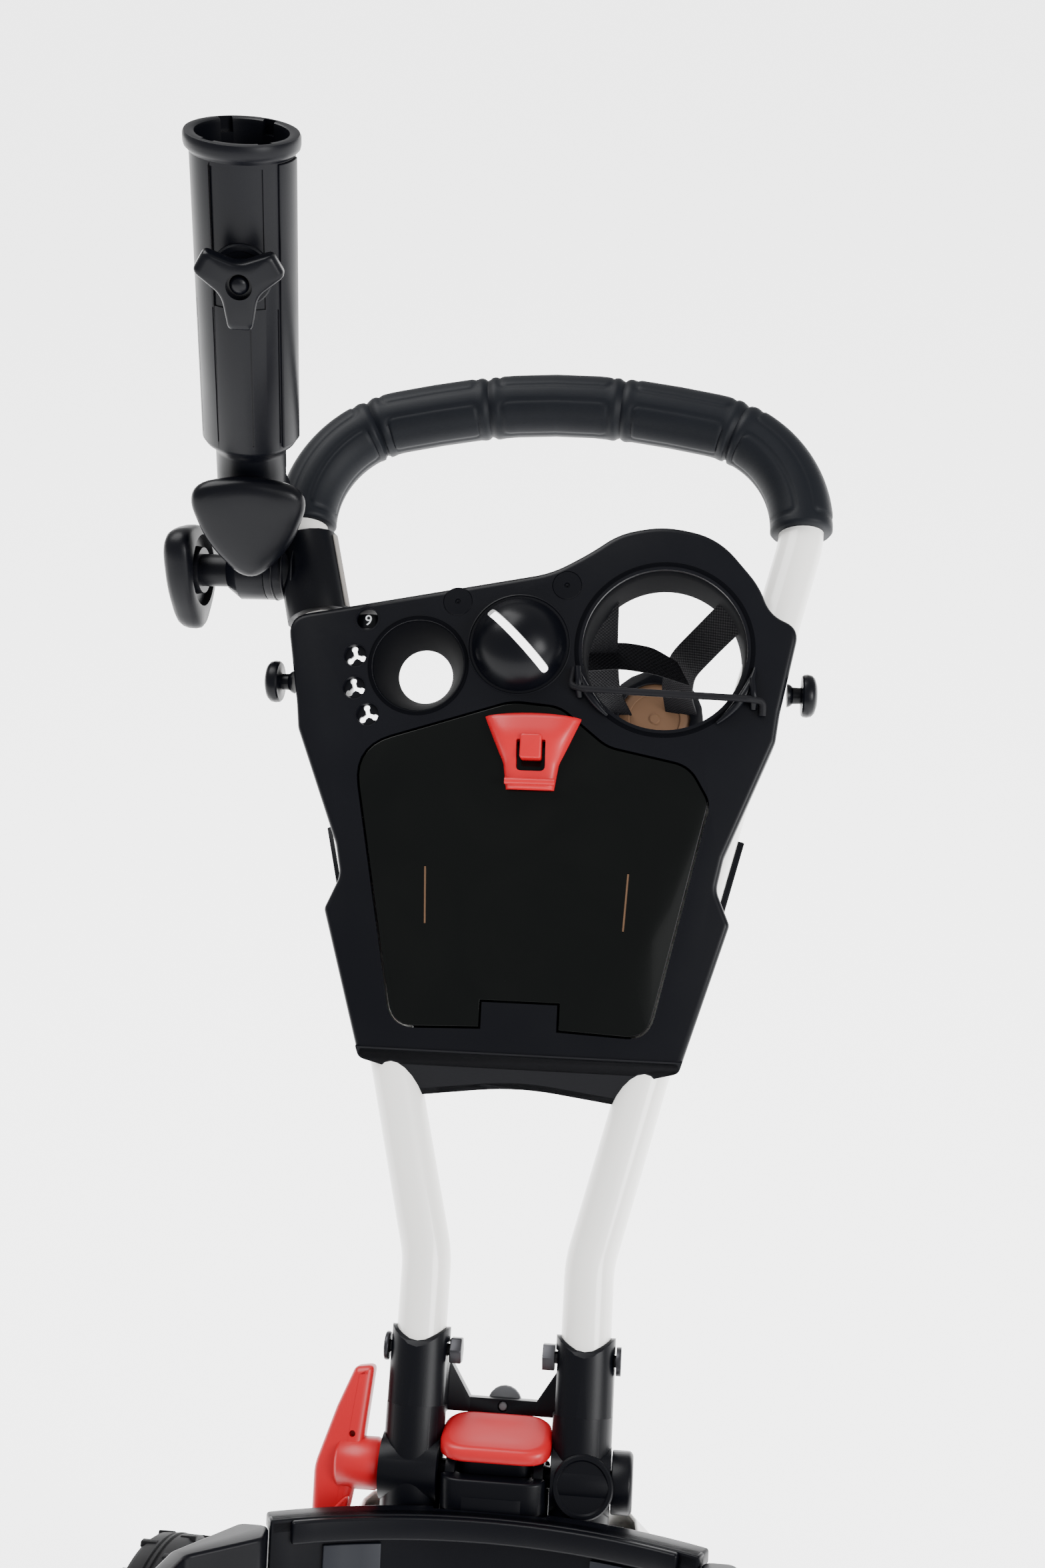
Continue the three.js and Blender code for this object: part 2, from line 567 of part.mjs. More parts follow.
const lower = { radius: 112, face: 30, bottom: -506, top: -472 };
const tubeBore = bar('y', mainTube.radius + gap, -700, -20, [0, 0, 0], 20);
const lowerCollar = bar('y', 24, lower.bottom, lower.top, [0, 0, 0], 20);
piece('lower_cradle', shaped(
  [lowerCollar, planSlab(arcBand(lower.radius, 8, rad(68), 16, lower.face + lower.radius), lower.bottom, lower.top)],
  [tubeBore],
), blackPlastic, mainFrame);

const basePlate = { top: -540, thick: 7, half: 62, reach: 150 };
const plateOutline = outline([[-basePlate.half, 40, 20], [-26, -26, 10], [26, -26, 10], [basePlate.half, 40, 20],
  [basePlate.half, basePlate.reach, 30], [-basePlate.half, basePlate.reach, 30]]);
piece('base_plate', shaped(
  [planSlab(plateOutline, basePlate.top - basePlate.thick, basePlate.top), bar('y', 24, -566, -541, [0, 0, 0], 20),
    block([-5, -566, 20], [5, -545, 90])],
  [tubeBore],
), blackPlastic, mainFrame);

const forkArm = fork.halfGap + fork.arm;
const forkSide = outline([[-582, -15, 8], [-582, 15, 8], [-640, 16, 10], [fork.axleAt - 16, 13, 13],
  [fork.axleAt - 16, -13, 13], [-640, -16, 10]]);
piece('front_fork', shaped(
  [sideSlab(forkSide, -forkArm, forkArm), bar('y', 25, -628, -576, [0, 0, 0], 24)],
  [
    block([-fork.halfGap, -800, -40], [fork.halfGap, -629, 40]),
    bar('y', mainTube.radius + gap, mainTube.end - 2, -570, [0, 0, 0], 24),
    bar('x', 5.4, -60, 60, [0, fork.axleAt, 0], 16),
  ],
), blackPlastic, mainFrame);
piece('front_axle', shaped([
  bar('x', 5, -forkArm - 3, forkArm + 3, [0, fork.axleAt, 0], 16),
  bar('x', 8, -forkArm - 6, -forkArm - gap, [0, fork.axleAt, 0], 6),
  bar('x', 8, forkArm + gap, forkArm + 6, [0, fork.axleAt, 0], 6),
]), steel, mainFrame);

// ---- wheels --------------------------------------------------------------------------------------------

// A wheel lies across X. One flat of the tyre faces straight down, so the wheel stands on it.
function wheel(name, size, hubHalf, bore, parent) {
  const outer = size.radius / Math.cos(Math.PI / wheelSides);
  const half = size.width / 2;
  const bead = size.radius * 0.82;
  const shoulder = outer - 7;
  const start = Math.PI / wheelSides + Math.PI / 2;
  const tyre = turnedAcross([[bead + gap, -half + 3], [shoulder, -half], [outer, -half + 9], [outer, half - 9],
    [shoulder, half], [bead + gap, half - 3], [bead + gap, -half + 3]], wheelSides, start);
  piece(`${name}_tyre`, tyre, rubber, parent);
  const seat = (bead + gap) * Math.cos(Math.PI / wheelSides) - gap;
  const rim = turnedAcross([[bore, -hubHalf], [15, -hubHalf], [16, -3], [bead - 6, -3], [bead - 4, -half + 4],
    [seat, -half + 4], [seat, half - 4], [bead - 4, half - 4], [bead - 6, 3], [16, 3], [15, hubHalf],
    [bore, hubHalf], [bore, -hubHalf]], wheelSides / 2, start + Math.PI / wheelSides);
  piece(`${name}_rim`, rim, blackPlastic, parent);
}

const frontAxle = {
  y: fork.axleAt * Math.cos(frameLean),
  z: frontWheel.radius - foldHeight,
};
const frontWheelFrame = new THREE.Group();
frontWheelFrame.position.set(0, frontAxle.y, fork.axleAt * Math.sin(frameLean));
upright.add(frontWheelFrame);
wheel('front', frontWheel, fork.halfGap - 1, 5.8, frontWheelFrame);

// ---- rear legs -----------------------------------------------------------------------------------------

const toLevel = (x, up, out) => new THREE.Vector3(x, up, out).applyAxisAngle(new THREE.Vector3(1, 0, 0), frameLean);
const frameDown = toLevel(0, -1, 0);

function legPlacement(sign) {
  const top = toLevel(sign * rearLeg.topX, rearLeg.topUp, rearLeg.topOut);
  const end = new THREE.Vector3(sign * rearLeg.endX, rearWheel.back, rearWheel.radius - foldHeight);
  const down = end.clone().sub(top);
  const length = down.length();
  down.normalize();
  const foldAxis = down.clone().cross(frameDown).normalize();
  return { top, end, down, length, foldAxis };
}

// Mount on the back of the hinge block that both rear legs swing on.
function legMountGeometry() {
  const parts = [bar('y', 25, -132, -99, [0, 0, 0], 20), block([-52, -126, -45], [52, -104, -14])];
  const pinHoles = [];
  for (const [, sign] of both) {
    const { top, foldAxis } = legPlacement(sign);
    const inward = foldAxis.clone().multiplyScalar(foldAxis.x * sign > 0 ? -1 : 1);
    const facing = new THREE.Quaternion().setFromUnitVectors(new THREE.Vector3(0, 1, 0), inward);
    const centre = top.clone().addScaledVector(inward, 20);
    const [disc, pinHole] = [[13, 9, 16], [4.4, 60, 12]].map(([radius, long, sides]) => bar('y', radius,
      -long / 2, long / 2, [0, 0, 0], sides).applyQuaternion(facing).translate(...centre).rotateX(-frameLean));
    pinHoles.push(pinHole);
    parts.push(disc);
    const local = centre.clone().applyAxisAngle(new THREE.Vector3(1, 0, 0), -frameLean);
    parts.push(block([local.x - 6, -122, local.z - 8], [local.x + 6, local.y - 5, local.z + 5]));
  }
  return shaped(parts, [tubeBore, ...pinHoles]);
}
piece('leg_mount', legMountGeometry(), blackPlastic, mainFrame);

for (const [side, sign] of both) {
  const { top, end, down, length, foldAxis } = legPlacement(sign);
  // In the leg's own frame X is the fold axis and Z runs down the leg.
  const legFrame = new THREE.Group();
  const across = foldAxis.clone().multiplyScalar(foldAxis.x > 0 ? 1 : -1);
  const third = down.clone().cross(across);
  legFrame.setRotationFromMatrix(new THREE.Matrix4().makeBasis(across, third, down));
  legFrame.position.copy(top);
  upright.add(legFrame);

  const legTube = swept(ringSection(rearLeg.radius, rearLeg.radius - 1.6),
    [new THREE.Vector3(0, 0, -12), new THREE.Vector3(0, 0, length - 26)]);
  piece(`${side}_leg_tube`, shaped([legTube], [bar('x', 4.4, -20, 20, [0, 0, 0], 12)]), whitePaint, legFrame);
  const inward = sign * (across.x > 0 ? -1 : 1);
  const pinEnds = [inward * 26, -inward * 15].sort((a, b) => a - b);
  piece(`${side}_leg_pin`, shaped([bar('x', 4, ...pinEnds, [0, 0, 0], 12),
    bar('x', 7, -inward * 15 - 2, -inward * 15 + 2, [0, 0, 0], 12)]), steel, legFrame);

  // The stub axle and its carrier lie square to the ground.
  const wheelFrame = new THREE.Group();
  wheelFrame.position.set(sign * rearWheel.x, end.y, end.z);
  upright.add(wheelFrame);
  const inside = end.x - sign * rearWheel.x;
  const carrier = turnedAcross([[0, -12], [15, -12], [15, 14], [11, 17], [0, 17]], 20);
  if (sign < 0) carrier.rotateZ(Math.PI);
  carrier.translate(inside, 0, 0);
  piece(`${side}_axle_carrier`, carrier, blackPlastic, wheelFrame);
  const hubStart = Math.min(inside + sign * (17 + gap), sign * 30);
  const hubEnd = Math.max(inside + sign * (17 + gap), sign * 30);
  piece(`${side}_axle`, bar('x', 6, hubStart, hubEnd, [0, 0, 0], 16), steel, wheelFrame);
  wheel(`${side}`, rearWheel, 23, 6.6, wheelFrame);
}

// Foot brake on the left leg: a pedal that swings a pin against the rim.
const brakeFrame = new THREE.Group();
brakeFrame.position.set(-rearLeg.endX - 6, rearWheel.back, rearWheel.radius - foldHeight);
upright.add(brakeFrame);
piece('brake_pedal', shaped([
  turnedAcross([[15.8, -6], [19.5, -6], [19.5, 4], [15.8, 4], [15.8, -6]], 20),
  block([-6, 17, -4], [4, 62, 4]),
  block([-14, 50, -4], [4, 66, 4]),
]), redPlastic, brakeFrame);

// ---- umbrella holder -----------------------------------------------------------------------------------

// The clamp grips the left leg of the handle just above the console.
const clampFrame = new THREE.Group();
clampFrame.position.set(-splayedX(pitchAxis.up), pitchAxis.up, 0);
clampFrame.rotation.z = Math.atan(legSplay);
handleFrame.add(clampFrame);
const clampX = splayedX(pitchAxis.up);
const cupRadius = 16.5;
const clampBand = bar('y', 18.6, -29, 20, [0, 0, 0], 20);
const clampBore = swept(ringSection(handleTube.radius + 2 * gap), handleRoute)
  .translate(clampX, -pitchAxis.up, 0).rotateZ(-Math.atan(legSplay));
const clampCup = turnedAcross([[0, -24.6], [cupRadius, -24.6], [cupRadius, -18], [13, -8], [0, -8]], 20)
  .rotateZ(-Math.atan(legSplay)).translate(0, 0, pitchAxis.out);
piece('umbrella_clamp', shaped([clampBand, clampCup], [clampBore]), blackPlastic, clampFrame);

const pitchFrame = new THREE.Group();
pitchFrame.position.copy(new THREE.Vector3(0, pitchAxis.up, pitchAxis.out)
  .applyAxisAngle(new THREE.Vector3(1, 0, 0), handleLean));
upright.add(pitchFrame);
const toPivot = { y: umbrellaPivot.back - pitchFrame.position.y, z: umbrellaPivot.up - pitchFrame.position.z };

const rollFrame = new THREE.Group();     // z up the umbrella tube, y along the axis of the knob at its foot
rollFrame.position.set(umbrellaPivot.x, umbrellaPivot.back, umbrellaPivot.up);
rollFrame.rotation.set(0, umbrella.lean, umbrella.turn);
upright.add(rollFrame);

// The knuckle has a toothed cup facing the clamp and a disc that the foot of the tube is screwed against.
const knuckle = { cup: -clampX - 25, back: -clampX - 48 };
function knuckleGeometry() {
  const cupShape = turnedAcross([[0, knuckle.back], [11, knuckle.back], [cupRadius, knuckle.back + 7],
    [cupRadius, knuckle.cup], [0, knuckle.cup]], 20);
  const disc = bar('y', 21, -1, 13, [0, 0, 0], 24).rotateZ(umbrella.turn).rotateY(umbrella.lean)
    .translate(umbrellaPivot.x, toPivot.y, toPivot.z);
  const neck = block([knuckle.back + 1, toPivot.y, 0], [knuckle.cup - 1, toPivot.y + 12, toPivot.z - 6]);
  return shaped([cupShape, disc, neck]);
}
piece('umbrella_knuckle', knuckleGeometry(), blackPlastic, pitchFrame);

// A rounded three-cornered knob, drawn facing +Z with one corner up.
function cornerKnob(thick) {
  const corners = [90, 210, 330].map((angle) => [47.6 * Math.cos(rad(angle)), 47.6 * Math.sin(rad(angle)), 17.3]);
  return slab(outline(corners), 0, thick, 6);
}
const sideKnobX = knuckle.back - 17;
const sideKnob = shaped([
  cornerKnob(18).rotateY(-Math.PI / 2).translate(sideKnobX, 0, 0),
  bar('x', 9.4, sideKnobX - 2, knuckle.back - gap, [0, 0, 0], 16),
]);
piece('umbrella_side_knob', sideKnob, blackPlastic, pitchFrame);

// The tube's foot is a flat-backed neck with a round end; the knob bolts it to the knuckle's disc.
const neckRadius = 19.3;
function umbrellaTubeGeometry() {
  const { base } = umbrella;
  const top = base + umbrella.length;
  const tube = turned([[0, base - 9], [neckRadius, base - 9], [neckRadius, base + 2], [umbrella.radius, base + 8],
    [umbrella.radius, top - 8], [umbrella.radius + 2.8, top - 5], [umbrella.radius + 2.8, top],
    [umbrella.bore, top], [umbrella.bore, base + 10], [0, base + 10]], 24);
  const foot = toGeometry(toSolid(shaped([bar('y', neckRadius, -neckRadius, -1.4, [0, 0, 0], 20),
    block([-neckRadius, -neckRadius, 0], [neckRadius, -1.4, base - 8])])).intersect(toSolid(
    bar('z', neckRadius, -neckRadius - 1, base, [0, 0, 0], 24))));
  return shaped([tube, foot, bar('y', 9, -umbrella.radius - 8, -umbrella.radius + 3, [0, 0, umbrella.knobUp], 16)]);
}
piece('umbrella_tube', umbrellaTubeGeometry(), blackPlastic, rollFrame);
piece('umbrella_front_knob', shaped([
  cornerKnob(12).rotateZ(Math.PI).rotateX(Math.PI / 2).translate(0, -neckRadius - 3, 0),
  bar('y', 12, -neckRadius - 3.5, -neckRadius - gap, [0, 0, 0], 16),
]), blackPlastic, rollFrame);

// Three arms with hollow sides between them, drawn facing +Z with one arm up.
function lobeKnob(radius, thick) {
  const points = Array.from({ length: 24 }, (_, i) => {
    const angle = (2 * Math.PI * i) / 24;
    const reach = radius * (0.76 + 0.24 * Math.cos(3 * (angle - rad(90))));
    return new THREE.Vector2(reach * Math.cos(angle), reach * Math.sin(angle));
  });
  return slab(new THREE.Shape(points), 0, thick);
}
piece('umbrella_tube_knob', lobeKnob(23, 9).rotateZ(Math.PI).rotateX(Math.PI / 2)
  .translate(0, -umbrella.radius - 8 - gap, umbrella.knobUp), blackPlastic, rollFrame);

export default cart;
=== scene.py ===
# %% [markdown]
# # A golf push cart
# The cart is loaded as a fixed frame of plain solids. They could be shown as they are, but their edges are
# sharp and their curves are faceted. So each cell below makes one visible piece or finish that lies exactly
# where its solid is, and ties it to the moving body that it belongs to.

# %% Load the frame
import json
import math
from contextlib import contextmanager

import bmesh
import bpy
from mathutils import Matrix, Vector

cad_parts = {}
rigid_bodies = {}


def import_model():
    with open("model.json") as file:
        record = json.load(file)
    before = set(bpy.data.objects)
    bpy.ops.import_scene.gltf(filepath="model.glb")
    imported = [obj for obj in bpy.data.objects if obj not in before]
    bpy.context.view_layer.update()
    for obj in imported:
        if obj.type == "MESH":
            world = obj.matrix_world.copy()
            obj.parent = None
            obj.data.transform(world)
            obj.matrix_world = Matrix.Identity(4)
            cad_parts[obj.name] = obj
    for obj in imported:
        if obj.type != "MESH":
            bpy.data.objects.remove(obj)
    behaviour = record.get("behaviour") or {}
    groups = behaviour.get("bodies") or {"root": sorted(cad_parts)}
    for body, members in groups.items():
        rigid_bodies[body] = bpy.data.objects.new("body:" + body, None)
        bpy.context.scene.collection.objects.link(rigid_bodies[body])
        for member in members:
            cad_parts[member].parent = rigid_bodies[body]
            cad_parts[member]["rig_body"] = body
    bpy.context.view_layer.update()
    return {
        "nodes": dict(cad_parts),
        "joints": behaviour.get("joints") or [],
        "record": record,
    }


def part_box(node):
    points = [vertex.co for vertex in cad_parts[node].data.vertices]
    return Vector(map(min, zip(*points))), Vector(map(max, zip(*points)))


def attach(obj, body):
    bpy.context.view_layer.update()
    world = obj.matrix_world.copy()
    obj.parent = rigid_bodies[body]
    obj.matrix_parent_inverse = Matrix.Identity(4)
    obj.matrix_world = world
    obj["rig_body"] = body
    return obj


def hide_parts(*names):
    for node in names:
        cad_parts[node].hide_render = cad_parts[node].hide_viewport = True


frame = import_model()
bpy.ops.object.select_all(action="DESELECT")
nodes = frame["nodes"]

# %% [markdown]
# ## Places to build in
# The handle, the main tube, the console and the umbrella holder each lean differently. A piece could be
# drawn straight in its leaning place, but every number would then be a sum. It is easier to draw it flat, in
# millimetres, and to move its mesh by one of these frames afterwards.

# %% Frames
MM = 0.001
HANDLE_LEAN = 39
MAIN_LEAN = 50
CLAMP_UP = 476        # height of the umbrella clamp up the handle
fold_joint = next(joint for joint in frame["joints"] if joint["name"] == "handle_fold")
FOLD = Vector(fold_joint["pos_m"])


def turn(degrees, axis):
    return Matrix.Rotation(math.radians(degrees), 4, axis)


def shift(x, y, z):
    return Matrix.Translation(Vector((x, y, z)) * MM)


AT_FOLD = Matrix.Translation(FOLD)
HANDLE = AT_FOLD @ turn(HANDLE_LEAN, "X")      # y runs up the handle, z out of its face
MAIN = AT_FOLD @ turn(MAIN_LEAN, "X")          # y runs up the main tube, z towards the bag
CONSOLE = HANDLE @ shift(0, 274, 22) @ turn(5, "X")
HOLDER = AT_FOLD @ shift(-167.6, 373.9, 344.8) @ turn(6.5, "Y") @ turn(9.5, "Z")
PITCH = HANDLE @ shift(0, CLAMP_UP, 2) @ turn(-HANDLE_LEAN, "X")
ALONG_X = turn(90, "Y")
ALONG_Y = turn(-90, "X")
FACING_FRONT = turn(90, "X")
print("fold axis at", tuple(FOLD), "handle leans", HANDLE_LEAN, "and the main tube", MAIN_LEAN, "degrees")

# %% [markdown]
# ## Small tools
# Operators act on what is selected, so each tool first selects its own piece and nothing else. Drawn points
# become a mesh, and the frames above move it.

# %% Selecting and editing
def take(piece):
    bpy.ops.object.select_all(action="DESELECT")
    piece.select_set(True)
    bpy.context.view_layer.objects.active = piece


@contextmanager
def editing(piece):
    take(piece)
    bpy.ops.object.mode_set(mode="EDIT")
    bpy.ops.mesh.select_mode(type="VERT")
    bpy.ops.mesh.select_all(action="SELECT")
    yield
    bpy.ops.object.mode_set(mode="OBJECT")


def drawn(name, points, edges=(), faces=()):
    mesh = bpy.data.meshes.new(name)
    mesh.from_pydata([Vector(point) * MM for point in points], edges, faces)
    piece = bpy.data.objects.new(name, mesh)
    bpy.context.scene.collection.objects.link(piece)
    return piece


def moved(piece, *places):
    for place in places:
        piece.data.transform(place)
    return piece


# %% [markdown]
# ## Outlines and routes
# Moulded parts have rounded corners and bent tubes have true arcs. Both could be drawn point by point, but a
# corner with a rounding says the same in one line, and it can be changed later.

# %% Outlines with rounded corners
def rounded(corners, steps=7):
    """Points of a closed outline from corners (x, y, rounding)."""
    points = []
    for i, (x, y, *rest) in enumerate(corners):
        reach = rest[0] if rest else 0
        here = Vector((x, y))
        back = Vector(corners[i - 1][:2]) - here
        ahead = Vector(corners[(i + 1) % len(corners)][:2]) - here
        if not reach:
            points.append(here)
            continue
        half = back.angle(ahead) / 2
        reach = min(reach / math.tan(half), back.length * 0.49, ahead.length * 0.49)
        start = here + back.normalized() * reach
        end = here + ahead.normalized() * reach
        for k in range(steps + 1):
            t = k / steps
            points.append(start * (1 - t) ** 2 + here * 2 * t * (1 - t) + end * t ** 2)
    return [point for i, point in enumerate(points) if (point - points[i - 1]).length > 0.03]


def grown(points, distance):
    """The outline moved outwards by a distance, or inwards when it is negative."""
    area = sum(a.x * b.y - b.x * a.y for a, b in zip(points, points[1:] + points[:1]))
    side = 1 if area > 0 else -1
    result = []
    for i, here in enumerate(points):
        back = (here - points[i - 1]).normalized()
        ahead = (points[(i + 1) % len(points)] - here).normalized()
        normal = Vector((back.y + ahead.y, -(back.x + ahead.x))).normalized()
        stretch = 1 / max(0.6, math.sqrt((1 + back.dot(ahead)) / 2))
        result.append(here + normal * side * distance * stretch)
    return result


def mirrored(corners):
    return [(-x, y, *rest) for x, y, *rest in reversed(corners)]


def arc_run(corners, step=6):
    """Points along straight runs joined by arcs; corners are (x, y, z, radius)."""
    at = [Vector(corner[:3]) for corner in corners]
    points = [at[0]]
    for i in range(1, len(at) - 1):
        back = (at[i - 1] - at[i]).normalized()
        ahead = (at[i + 1] - at[i]).normalized()
        half = back.angle(ahead) / 2
        radius = corners[i][3]
        centre = at[i] + (back + ahead).normalized() * radius / math.sin(half)
        start = at[i] + back * radius / math.tan(half) - centre
        whole = math.pi - 2 * half
        axis = back.cross(ahead).normalized()
        count = max(2, math.ceil(math.degrees(whole) / step))
        points += [Matrix.Rotation(-whole * k / count, 3, axis) @ start + centre for k in range(count + 1)]
    return points + [at[-1]]


# %% [markdown]
# ## Basic shapes
# Most pieces start in one of a few ways: a profile is spun, an outline is extruded, rings are joined by a
# skin, or a circle is swept along a route. Each way is an operator or two, so each gets one small function.

# %% Spun, extruded and swept shapes
def spun(name, profile, steps=64):
    """A closed turned shape about Z; the profile runs as (radius, height)."""
    points = [(radius, 0, height) for radius, height in profile]
    edges = [(i, i + 1) for i in range(len(points) - 1)]
    if profile[0][0] > 0:
        edges.append((len(points) - 1, 0))
    piece = drawn(name, points, edges)
    with editing(piece):
        bpy.ops.mesh.spin(steps=steps, angle=math.tau, center=(0, 0, 0), axis=(0, 0, 1))
        bpy.ops.mesh.select_all(action="SELECT")
        bpy.ops.mesh.remove_doubles(threshold=1e-6)
        bpy.ops.mesh.normals_make_consistent(inside=False)
    return piece


def plate(name, outline, low, high, top=0.0, bottom=0.0, segments=4):
    """An outline extruded along Z, with its top or bottom rim rounded over."""
    outline = [Vector(point[:2]) for point in outline]
    piece = drawn(name, [(x, y, low) for x, y in outline], faces=[list(range(len(outline)))])
    with editing(piece):
        bpy.ops.mesh.extrude_region_move(TRANSFORM_OT_translate={"value": (0, 0, (high - low) * MM)})
        bpy.ops.mesh.select_all(action="SELECT")
        bpy.ops.mesh.normals_make_consistent(inside=False)
    for height, width in ((high, top), (low, bottom)):
        if width:
            round_rim(piece, height, width, segments)
    return piece


def skin(name, rings):
    """A closed shape laid through rings that have the same number of points."""
    count = len(rings[0])
    faces = [(i * count + j, i * count + (j + 1) % count, (i + 1) * count + (j + 1) % count,
              (i + 1) * count + j)
             for i in range(len(rings) - 1) for j in range(count)]
    faces += [list(range(count)), [(len(rings) - 1) * count + j for j in range(count)]]
    piece = drawn(name, [point for ring in rings for point in ring], faces=faces)
    with editing(piece):
        bpy.ops.mesh.normals_make_consistent(inside=False)
    return piece


def round_rim(piece, height, width, segments=4):
    with editing(piece):
        bpy.ops.mesh.select_mode(type="EDGE")
        bpy.ops.mesh.select_all(action="DESELECT")
        shape = bmesh.from_edit_mesh(piece.data)
        for edge in shape.edges:
            edge.select_set(all(abs(end.co.z - height * MM) < 1e-6 for end in edge.verts))
        bmesh.update_edit_mesh(piece.data)
        bpy.ops.mesh.bevel(offset=width * MM, segments=segments, affect="EDGES", clamp_overlap=False)


def bar(name, radius, low, high, x=0, y=0, steps=32):
    bpy.ops.mesh.primitive_cylinder_add(vertices=steps, radius=radius * MM, depth=(high - low) * MM,
                                        location=(x * MM, y * MM, (low + high) / 2 * MM))
    piece = bpy.context.active_object
    piece.name = name
    bpy.ops.object.transform_apply(location=True, rotation=False, scale=False)
    return piece


def box(name, low, high):
    centre = [(a + b) / 2 * MM for a, b in zip(low, high)]
    bpy.ops.mesh.primitive_cube_add(size=1, location=centre, scale=[(b - a) * MM for a, b in zip(low, high)])
    piece = bpy.context.active_object
    piece.name = name
    bpy.ops.object.transform_apply(location=True, rotation=False, scale=True)
    return piece


def rod(name, route, radius, sides=8):
    """A round rod along a route; its thickness may change from point to point."""
    curve = bpy.data.curves.new(name, "CURVE")
    curve.dimensions = "3D"
    curve.bevel_depth = MM
    curve.bevel_resolution = sides
    curve.use_fill_caps = True
    spline = curve.splines.new("POLY")
    spline.points.add(len(route) - 1)
    for i, point in enumerate(route):
        spline.points[i].co = (*(Vector(point) * MM), 1)
        spline.points[i].radius = radius[i] if isinstance(radius, list) else radius
    piece = bpy.data.objects.new(name, curve)
    bpy.context.scene.collection.objects.link(piece)
    take(piece)
    bpy.ops.object.convert(target="MESH")
    return bpy.context.active_object


# %% [markdown]
# ## Cutting, rounding and finishing
# A cutter is a shape that is used up by the piece that it cuts. Edges are rounded by a Bevel modifier that
# acts only on sharp angles, because moulded plastic has no knife edges and a rounded one catches the light.

# %% Cutting, rounding and finishing
def changed(piece, kind, **settings):
    take(piece)
    modifier = piece.modifiers.new(kind.lower(), kind)
    for key, value in settings.items():
        setattr(modifier, key, value)
    bpy.ops.object.modifier_apply(modifier=modifier.name)
    return piece


def cut(piece, *cutters, operation="DIFFERENCE"):
    for cutter in cutters:
        changed(piece, "BOOLEAN", operation=operation, object=cutter, solver="EXACT")
        bpy.data.objects.remove(cutter)
    return piece


def softened(piece, width=0.7, segments=3, angle=32):
    return changed(piece, "BEVEL", width=width * MM, segments=segments, limit_method="ANGLE",
                   angle_limit=math.radians(angle), use_clamp_overlap=True)


def together(piece, *others):
    take(piece)
    for other in others:
        other.select_set(True)
    bpy.ops.object.join()
    return piece


stood_for = set()


def done(piece, where, body, finish, *stands_for, smooth=35):
    """Puts a finished piece in its place, gives it its finish and lets it ride on a body."""
    moved(piece, where)
    piece.data.materials.clear()
    piece.data.materials.append(finish.material)
    take(piece)
    bpy.ops.object.shade_smooth_by_angle(angle=math.radians(smooth))
    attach(piece, body)
    if stands_for:
        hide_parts(*stands_for)
        stood_for.update(stands_for)
    print(f"{piece.name}: {len(piece.data.polygons)} faces on {body}")
    return piece


def refined(node, finish, width=0.7, smooth=35, segments=2):
    """A clean copy of a solid, with its edges rounded as a moulding's are."""
    piece = bpy.data.objects.new(node + "_finished", nodes[node].data.copy())
    bpy.context.scene.collection.objects.link(piece)
    with editing(piece):
        bpy.ops.mesh.remove_doubles(threshold=2e-5)
        bpy.ops.mesh.dissolve_limited(angle_limit=math.radians(1.5))
    softened(piece, width, segments)
    return done(piece, Matrix.Identity(4), nodes[node]["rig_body"], finish, node, smooth=smooth)


# %% [markdown]
# ## Finishes
# Every finish is a node tree, so that its colour, gloss and grain drift as a real surface's do. Wiring nodes
# by hand makes long code, so a socket is wrapped in a small class and sums on it read like plain arithmetic.
# One method makes any other node.

# %% Wires and finishes
class Wire:
    """One output socket that can be used in sums."""

    def __init__(self, finish, socket):
        self.finish = finish
        self.socket = socket

    def math(self, operation, first, second=0.0):
        return self.finish.make("ShaderNodeMath", {"operation": operation}, {0: first, 1: second})

    def __add__(self, other):
        return self.math("ADD", self, other)

    def __mul__(self, other):
        return self.math("MULTIPLY", self, other)

    def sine(self):
        return self.math("SINE", self)

    __radd__ = __add__
    __rmul__ = __mul__


class Finish:
    """A material with a Principled shader and the record's slot that it stands for."""

    def __init__(self, name, slot, **sockets):
        self.slot = slot
        self.material = bpy.data.materials.new(name)
        self.material.use_nodes = True
        self.tree = self.material.node_tree
        self.shader = self.tree.nodes["Principled BSDF"]
        for socket, value in sockets.items():
            self.shader.inputs[socket.replace("_", " ")].default_value = value
        self.place = self.make("ShaderNodeTexCoord", {}, {}, "Object")
        print("finish", name)

    def make(self, kind, settings, inputs, out=0):
        node = self.tree.nodes.new(kind)
        stops = settings.pop("stops", None)
        for key, value in settings.items():
            setattr(node, key, value)
        if stops:
            ramp = node.color_ramp
            for place, colour in stops[2:]:
                ramp.elements.new(place)
            for element, (place, colour) in zip(ramp.elements, stops):
                element.position = place
                element.color = (*colour, 1)
        for key, value in inputs.items():
            if isinstance(value, Wire):
                self.tree.links.new(value.socket, node.inputs[key])
            else:
                node.inputs[key].default_value = value
        return Wire(self, node.outputs[out])

    def noise(self, scale, detail=2.0, at=None):
        return self.make("ShaderNodeTexNoise", {},
                         {"Vector": at or self.place, "Scale": scale, "Detail": detail})

    def mix(self, share, first, second):
        return self.make("ShaderNodeMix", {"data_type": "RGBA"},
                         {0: share, 6: (*first, 1), 7: (*second, 1)}, 2)

    def feed(self, **wires):
        for socket, wire in wires.items():
            self.tree.links.new(wire.socket, self.shader.inputs[socket.replace("_", " ")])
        return self

    def bumps(self, height, strength=0.2, distance=0.0002):
        return self.feed(Normal=self.make("ShaderNodeBump", {}, {
            "Height": height, "Strength": strength, "Distance": distance}))


# %% [markdown]
# ### Moulded plastic
# The black mouldings are glass-filled nylon: nearly black with a blue cast, satin, with a spark-eroded grain
# of under a millimetre. Slow noise makes the sheen drift a little, as handling does. One function makes them
# all, because the red, grey and rubber parts differ only in colour, gloss and grain.

# %% Black mouldings
ROUGHNESS_DRIFT = 0.14


